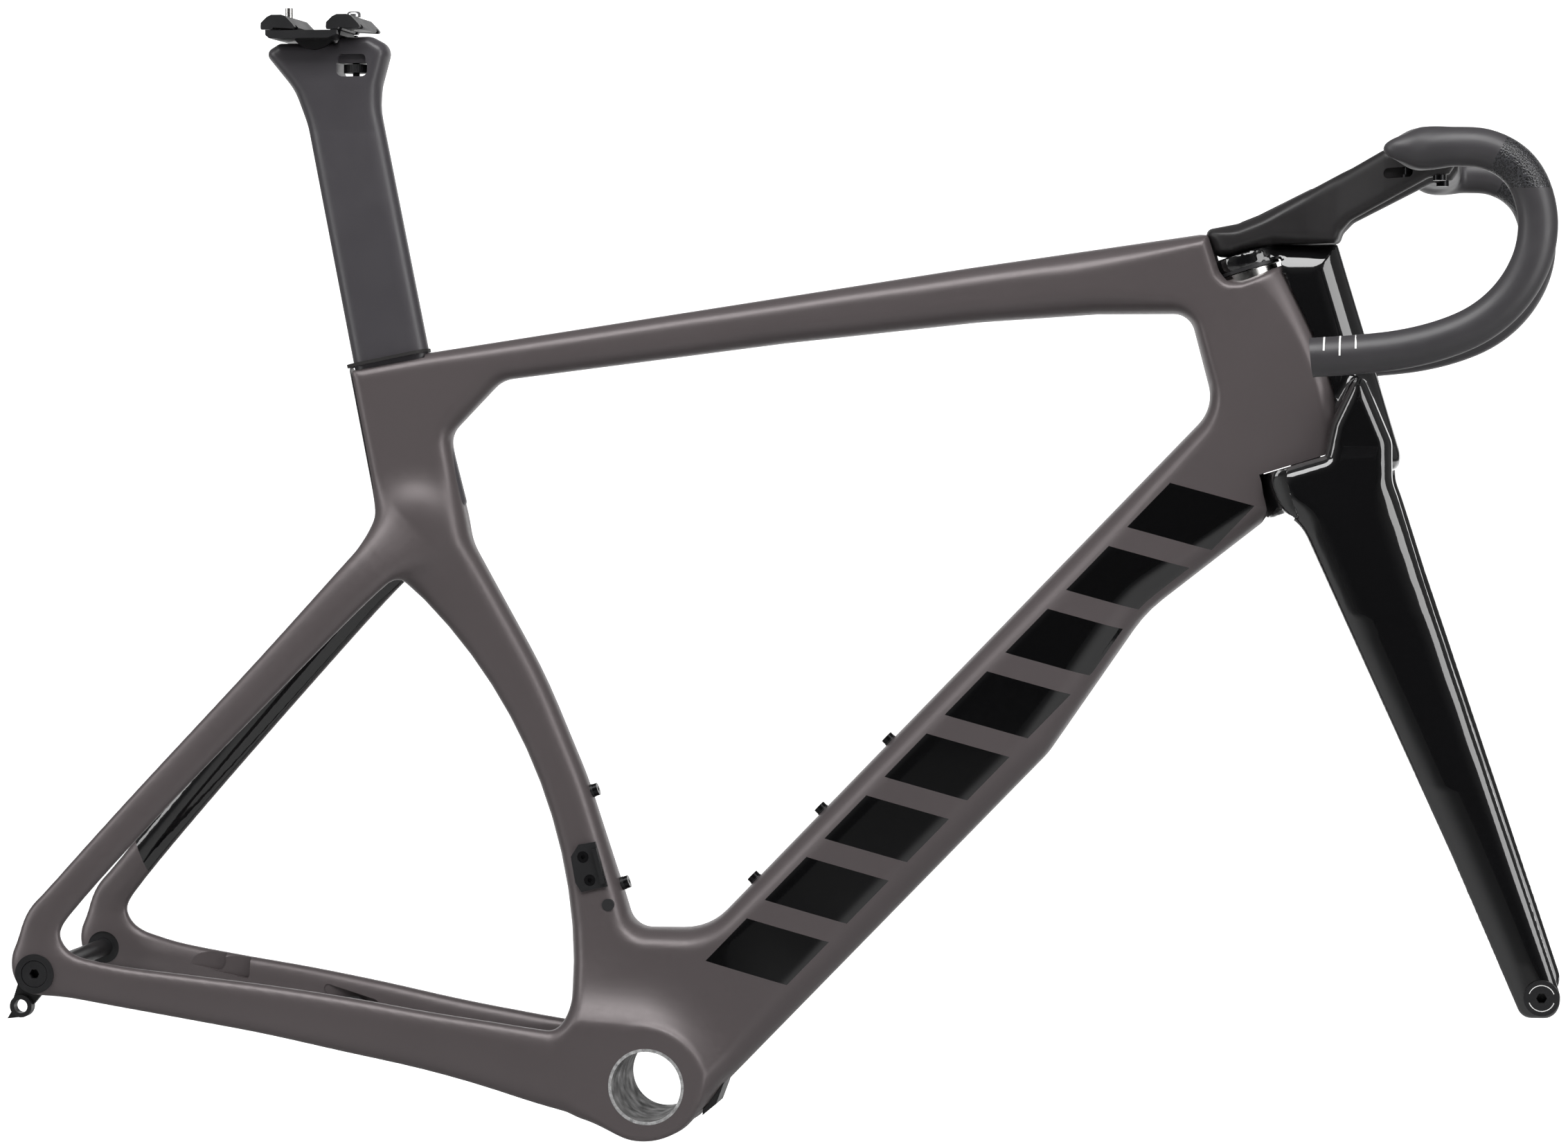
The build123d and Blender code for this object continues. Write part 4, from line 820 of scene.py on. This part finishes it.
bar_shell = skin("bar_shell", bar_field, (420, 0, 458), (588, 216, 622), FINE_VOXEL + 0.4)
end_trims = []
end_bores = []
for side in (-1, 1):
    end_trims.append(rod((437.0, side * DROP_Y, BAR_END_Z), (410.0, side * DROP_Y, 471.0), 20.0))
    end_bores.append(rod((445.0, side * DROP_Y, 474.2), (434.0, side * DROP_Y, 473.3), 9.7))
cut(bar_shell, end_trims)
cut(bar_shell, end_bores)
finish_piece(bar_shell, "front_end", ["handlebar"], MATERIALS["bar_matte"])

post_shell = skin("post_shell", post_field, (-266, 0, 364), (-118, 16, 696), FINE_VOXEL)
post_cutters = [
    crosswise(CRADLE_PIVOT, -30, 30, 15.9),
    prism([(-211.6, 660.5, 4), (-190.8, 660.5, 4), (-190.8, 669.6, 1), (-211.6, 669.6, 1)], -30, 30),
    rod((TILT_WHEEL.x, 0, 650), (TILT_WHEEL.x, 0, 700), 2.3),
]
cut(post_shell, post_cutters)
window_top = [(-210.6, 669.0, 0.5), (-191.8, 669.0, 0.5), (-191.8, 675.2, 7), (-210.6, 675.2, 7)]
cut(post_shell, [prism(window_top, -30, -8.5), prism(window_top, 8.5, 30)])
finish_piece(post_shell, "seatpost", ["seatpost"], MATERIALS["post_satin"])

# ---------------------------------------------------------------- printed marks: ticks on the drops
INK_HEIGHT = 0.06


def ribbon_faces(pairs):
    """The faces of a ribbon whose vertices come in pairs."""
    return [(2 * k, 2 * k + 1, 2 * k + 3, 2 * k + 2) for k in range(pairs - 1)]


def shifted(faces, count):
    """Faces whose vertices come after the first count."""
    return [tuple(k + count for k in face) for face in faces]


def ticks():
    """Short white ticks near the bar's ends, laid just over the tube."""
    verts, faces = [], []
    slope = (LAST_BEND_Z - BAR_END_Z) / (LAST_BEND_X - BAR_END_X)
    ink_r = BAR_R + INK_HEIGHT
    for side in (-1, 1):
        for x, reach in ((445.0, 7.0), (454.5, 10.5), (464.0, 7.0)):
            faces += shifted(ribbon_faces(13), len(verts))
            base_z = BAR_END_Z + (x - BAR_END_X) * slope
            lowest = acos(1 - reach / BAR_R)
            for k in range(13):
                a = lowest * k / 12 + 0.12
                y, z = side * (DROP_Y + ink_r * sin(a)), base_z + ink_r * cos(a)
                verts += [((x + dx) * MM, y * MM, z * MM) for dx in (-0.55, 0.55)]
    return new_piece("bar_ticks", verts, faces)


def axle_arcs():
    """Two plain arcs on the face of the front axle's head."""
    verts, faces = [], []
    face_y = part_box("front_axle")[0].y - INK_HEIGHT * MM
    for start in (20, 200):
        faces += shifted(ribbon_faces(25), len(verts))
        for k in range(25):
            a = radians(start + 140 * k / 24)
            for radius in (7.9, 8.4):
                x, z = FRONT_AXLE.x + radius * cos(a), FRONT_AXLE.z + radius * sin(a)
                verts.append((x * MM, face_y, z * MM))
    return new_piece("axle_arcs", verts, faces)


WHITE_INK = coated("white_ink", (0.75, 0.75, 0.74), 0.5, 900.0)
finish_piece(ticks(), "front_end", [], WHITE_INK)
finish_piece(axle_arcs(), "front_axle", [], WHITE_INK)

# ---------------------------------------------------------------- studio and camera
TARGET = Vector((0.085, 0, 0.335))
AZIMUTH, ELEVATION, DISTANCE = radians(8.8), radians(2.15), 3.19
back = Vector((sin(AZIMUTH) * cos(ELEVATION), -cos(AZIMUTH) * cos(ELEVATION), sin(ELEVATION)))
camera = bpy.data.objects.new("camera", bpy.data.cameras.new("camera"))
camera.data.lens = 111.9
camera.data.sensor_width = 36.0
camera.data.clip_end = 60.0
camera.location = TARGET + back * DISTANCE
camera.rotation_euler = (-back).to_track_quat("-Z", "Y").to_euler()
bpy.context.scene.collection.objects.link(camera)
bpy.context.scene.camera = camera

FLOOR_Z = -0.30
SWEEP_START = 5.6
SWEEP_R = 1.6


def backdrop_paper():
    """Pale grey paper under the object, glowing white behind it like a lit studio wall."""
    material, tree, principled, place = new_material("backdrop")
    x, y, z = separate(tree, place)
    behind = calculate(tree, "MULTIPLY_ADD", y, 1.6, -1.5)
    beside = calculate(tree, "MULTIPLY_ADD", calculate(tree, "ABSOLUTE", x), -1.2, 6.0)
    below = calculate(tree, "MULTIPLY_ADD", z, -1.2, 5.0)
    lit = calculate(tree, "MINIMUM", behind, beside)
    lit = calculate(tree, "MINIMUM", lit, below)
    lit = calculate(tree, "MAXIMUM", calculate(tree, "MINIMUM", lit, 1.0), 0.0)
    tree.links.new(calculate(tree, "MULTIPLY", lit, 1.08), principled.inputs["Emission Strength"])
    principled.inputs["Emission Color"].default_value = (1, 1, 1, 1)
    grain = span(tree, noise(tree, place, 40.0), 0.97, 1.0)
    tree.links.new(tint(tree, (0.45, 0.45, 0.45), grain), principled.inputs["Base Color"])
    principled.inputs["Roughness"].default_value = 0.9
    principled.inputs["Specular IOR Level"].default_value = 0.0
    return material


def backdrop():
    """A pale floor that sweeps up into a wall behind the object."""
    profile = [(-7.0, FLOOR_Z)]
    for k in range(25):
        turn = pi / 2 * k / 24
        profile.append((SWEEP_START + SWEEP_R * sin(turn), FLOOR_Z + SWEEP_R * (1 - cos(turn))))
    profile.append((SWEEP_START + SWEEP_R, 7.0))
    verts = [(x, y, z) for y, z in profile for x in (-9.0, 9.0)]
    piece = new_piece("backdrop", verts, ribbon_faces(len(profile)))
    piece.data.polygons.foreach_set("use_smooth", [True] * len(piece.data.polygons))
    piece.data.materials.append(backdrop_paper())


backdrop()


def softbox(name, place, aim, width, height, power):
    """A large soft area light."""
    light = bpy.data.lights.new(name, "AREA")
    light.shape = "RECTANGLE"
    light.size = width
    light.size_y = height
    light.energy = power
    lamp = bpy.data.objects.new(name, light)
    lamp.location = place
    lamp.rotation_euler = (Vector(aim) - Vector(place)).to_track_quat("-Z", "Y").to_euler()
    bpy.context.scene.collection.objects.link(lamp)


softbox("top", (0.1, -1.3, 2.3), (0.1, 0, 0.3), 3.2, 1.2, 82)
softbox("left", (-2.4, -1.1, 1.0), (0, 0, 0.3), 0.7, 2.2, 22)
softbox("right", (2.3, -1.2, 0.7), (0.45, 0, 0.4), 1.1, 2.4, 34)


def studio_world():
    """A pale surround, dim towards -Y, which the right side of the frame faces."""
    world = bpy.data.worlds.new("studio")
    world.use_nodes = True
    tree = world.node_tree
    direction = tree.nodes.new("ShaderNodeTexCoord")
    _, towards, _ = separate(tree, direction.outputs["Generated"])
    pale = calculate(tree, "MULTIPLY_ADD", towards, 3.5, 3.3)
    pale = calculate(tree, "MINIMUM", calculate(tree, "MAXIMUM", pale, 0.0), 1.0)
    background = tree.nodes["Background"]
    tree.links.new(calculate(tree, "MULTIPLY_ADD", pale, 0.17, 0.015), background.inputs["Strength"])
    background.inputs["Color"].default_value = (1, 1, 1, 1)
    return world


bpy.context.scene.world = studio_world()
bpy.context.scene.view_settings.view_transform = "Standard"
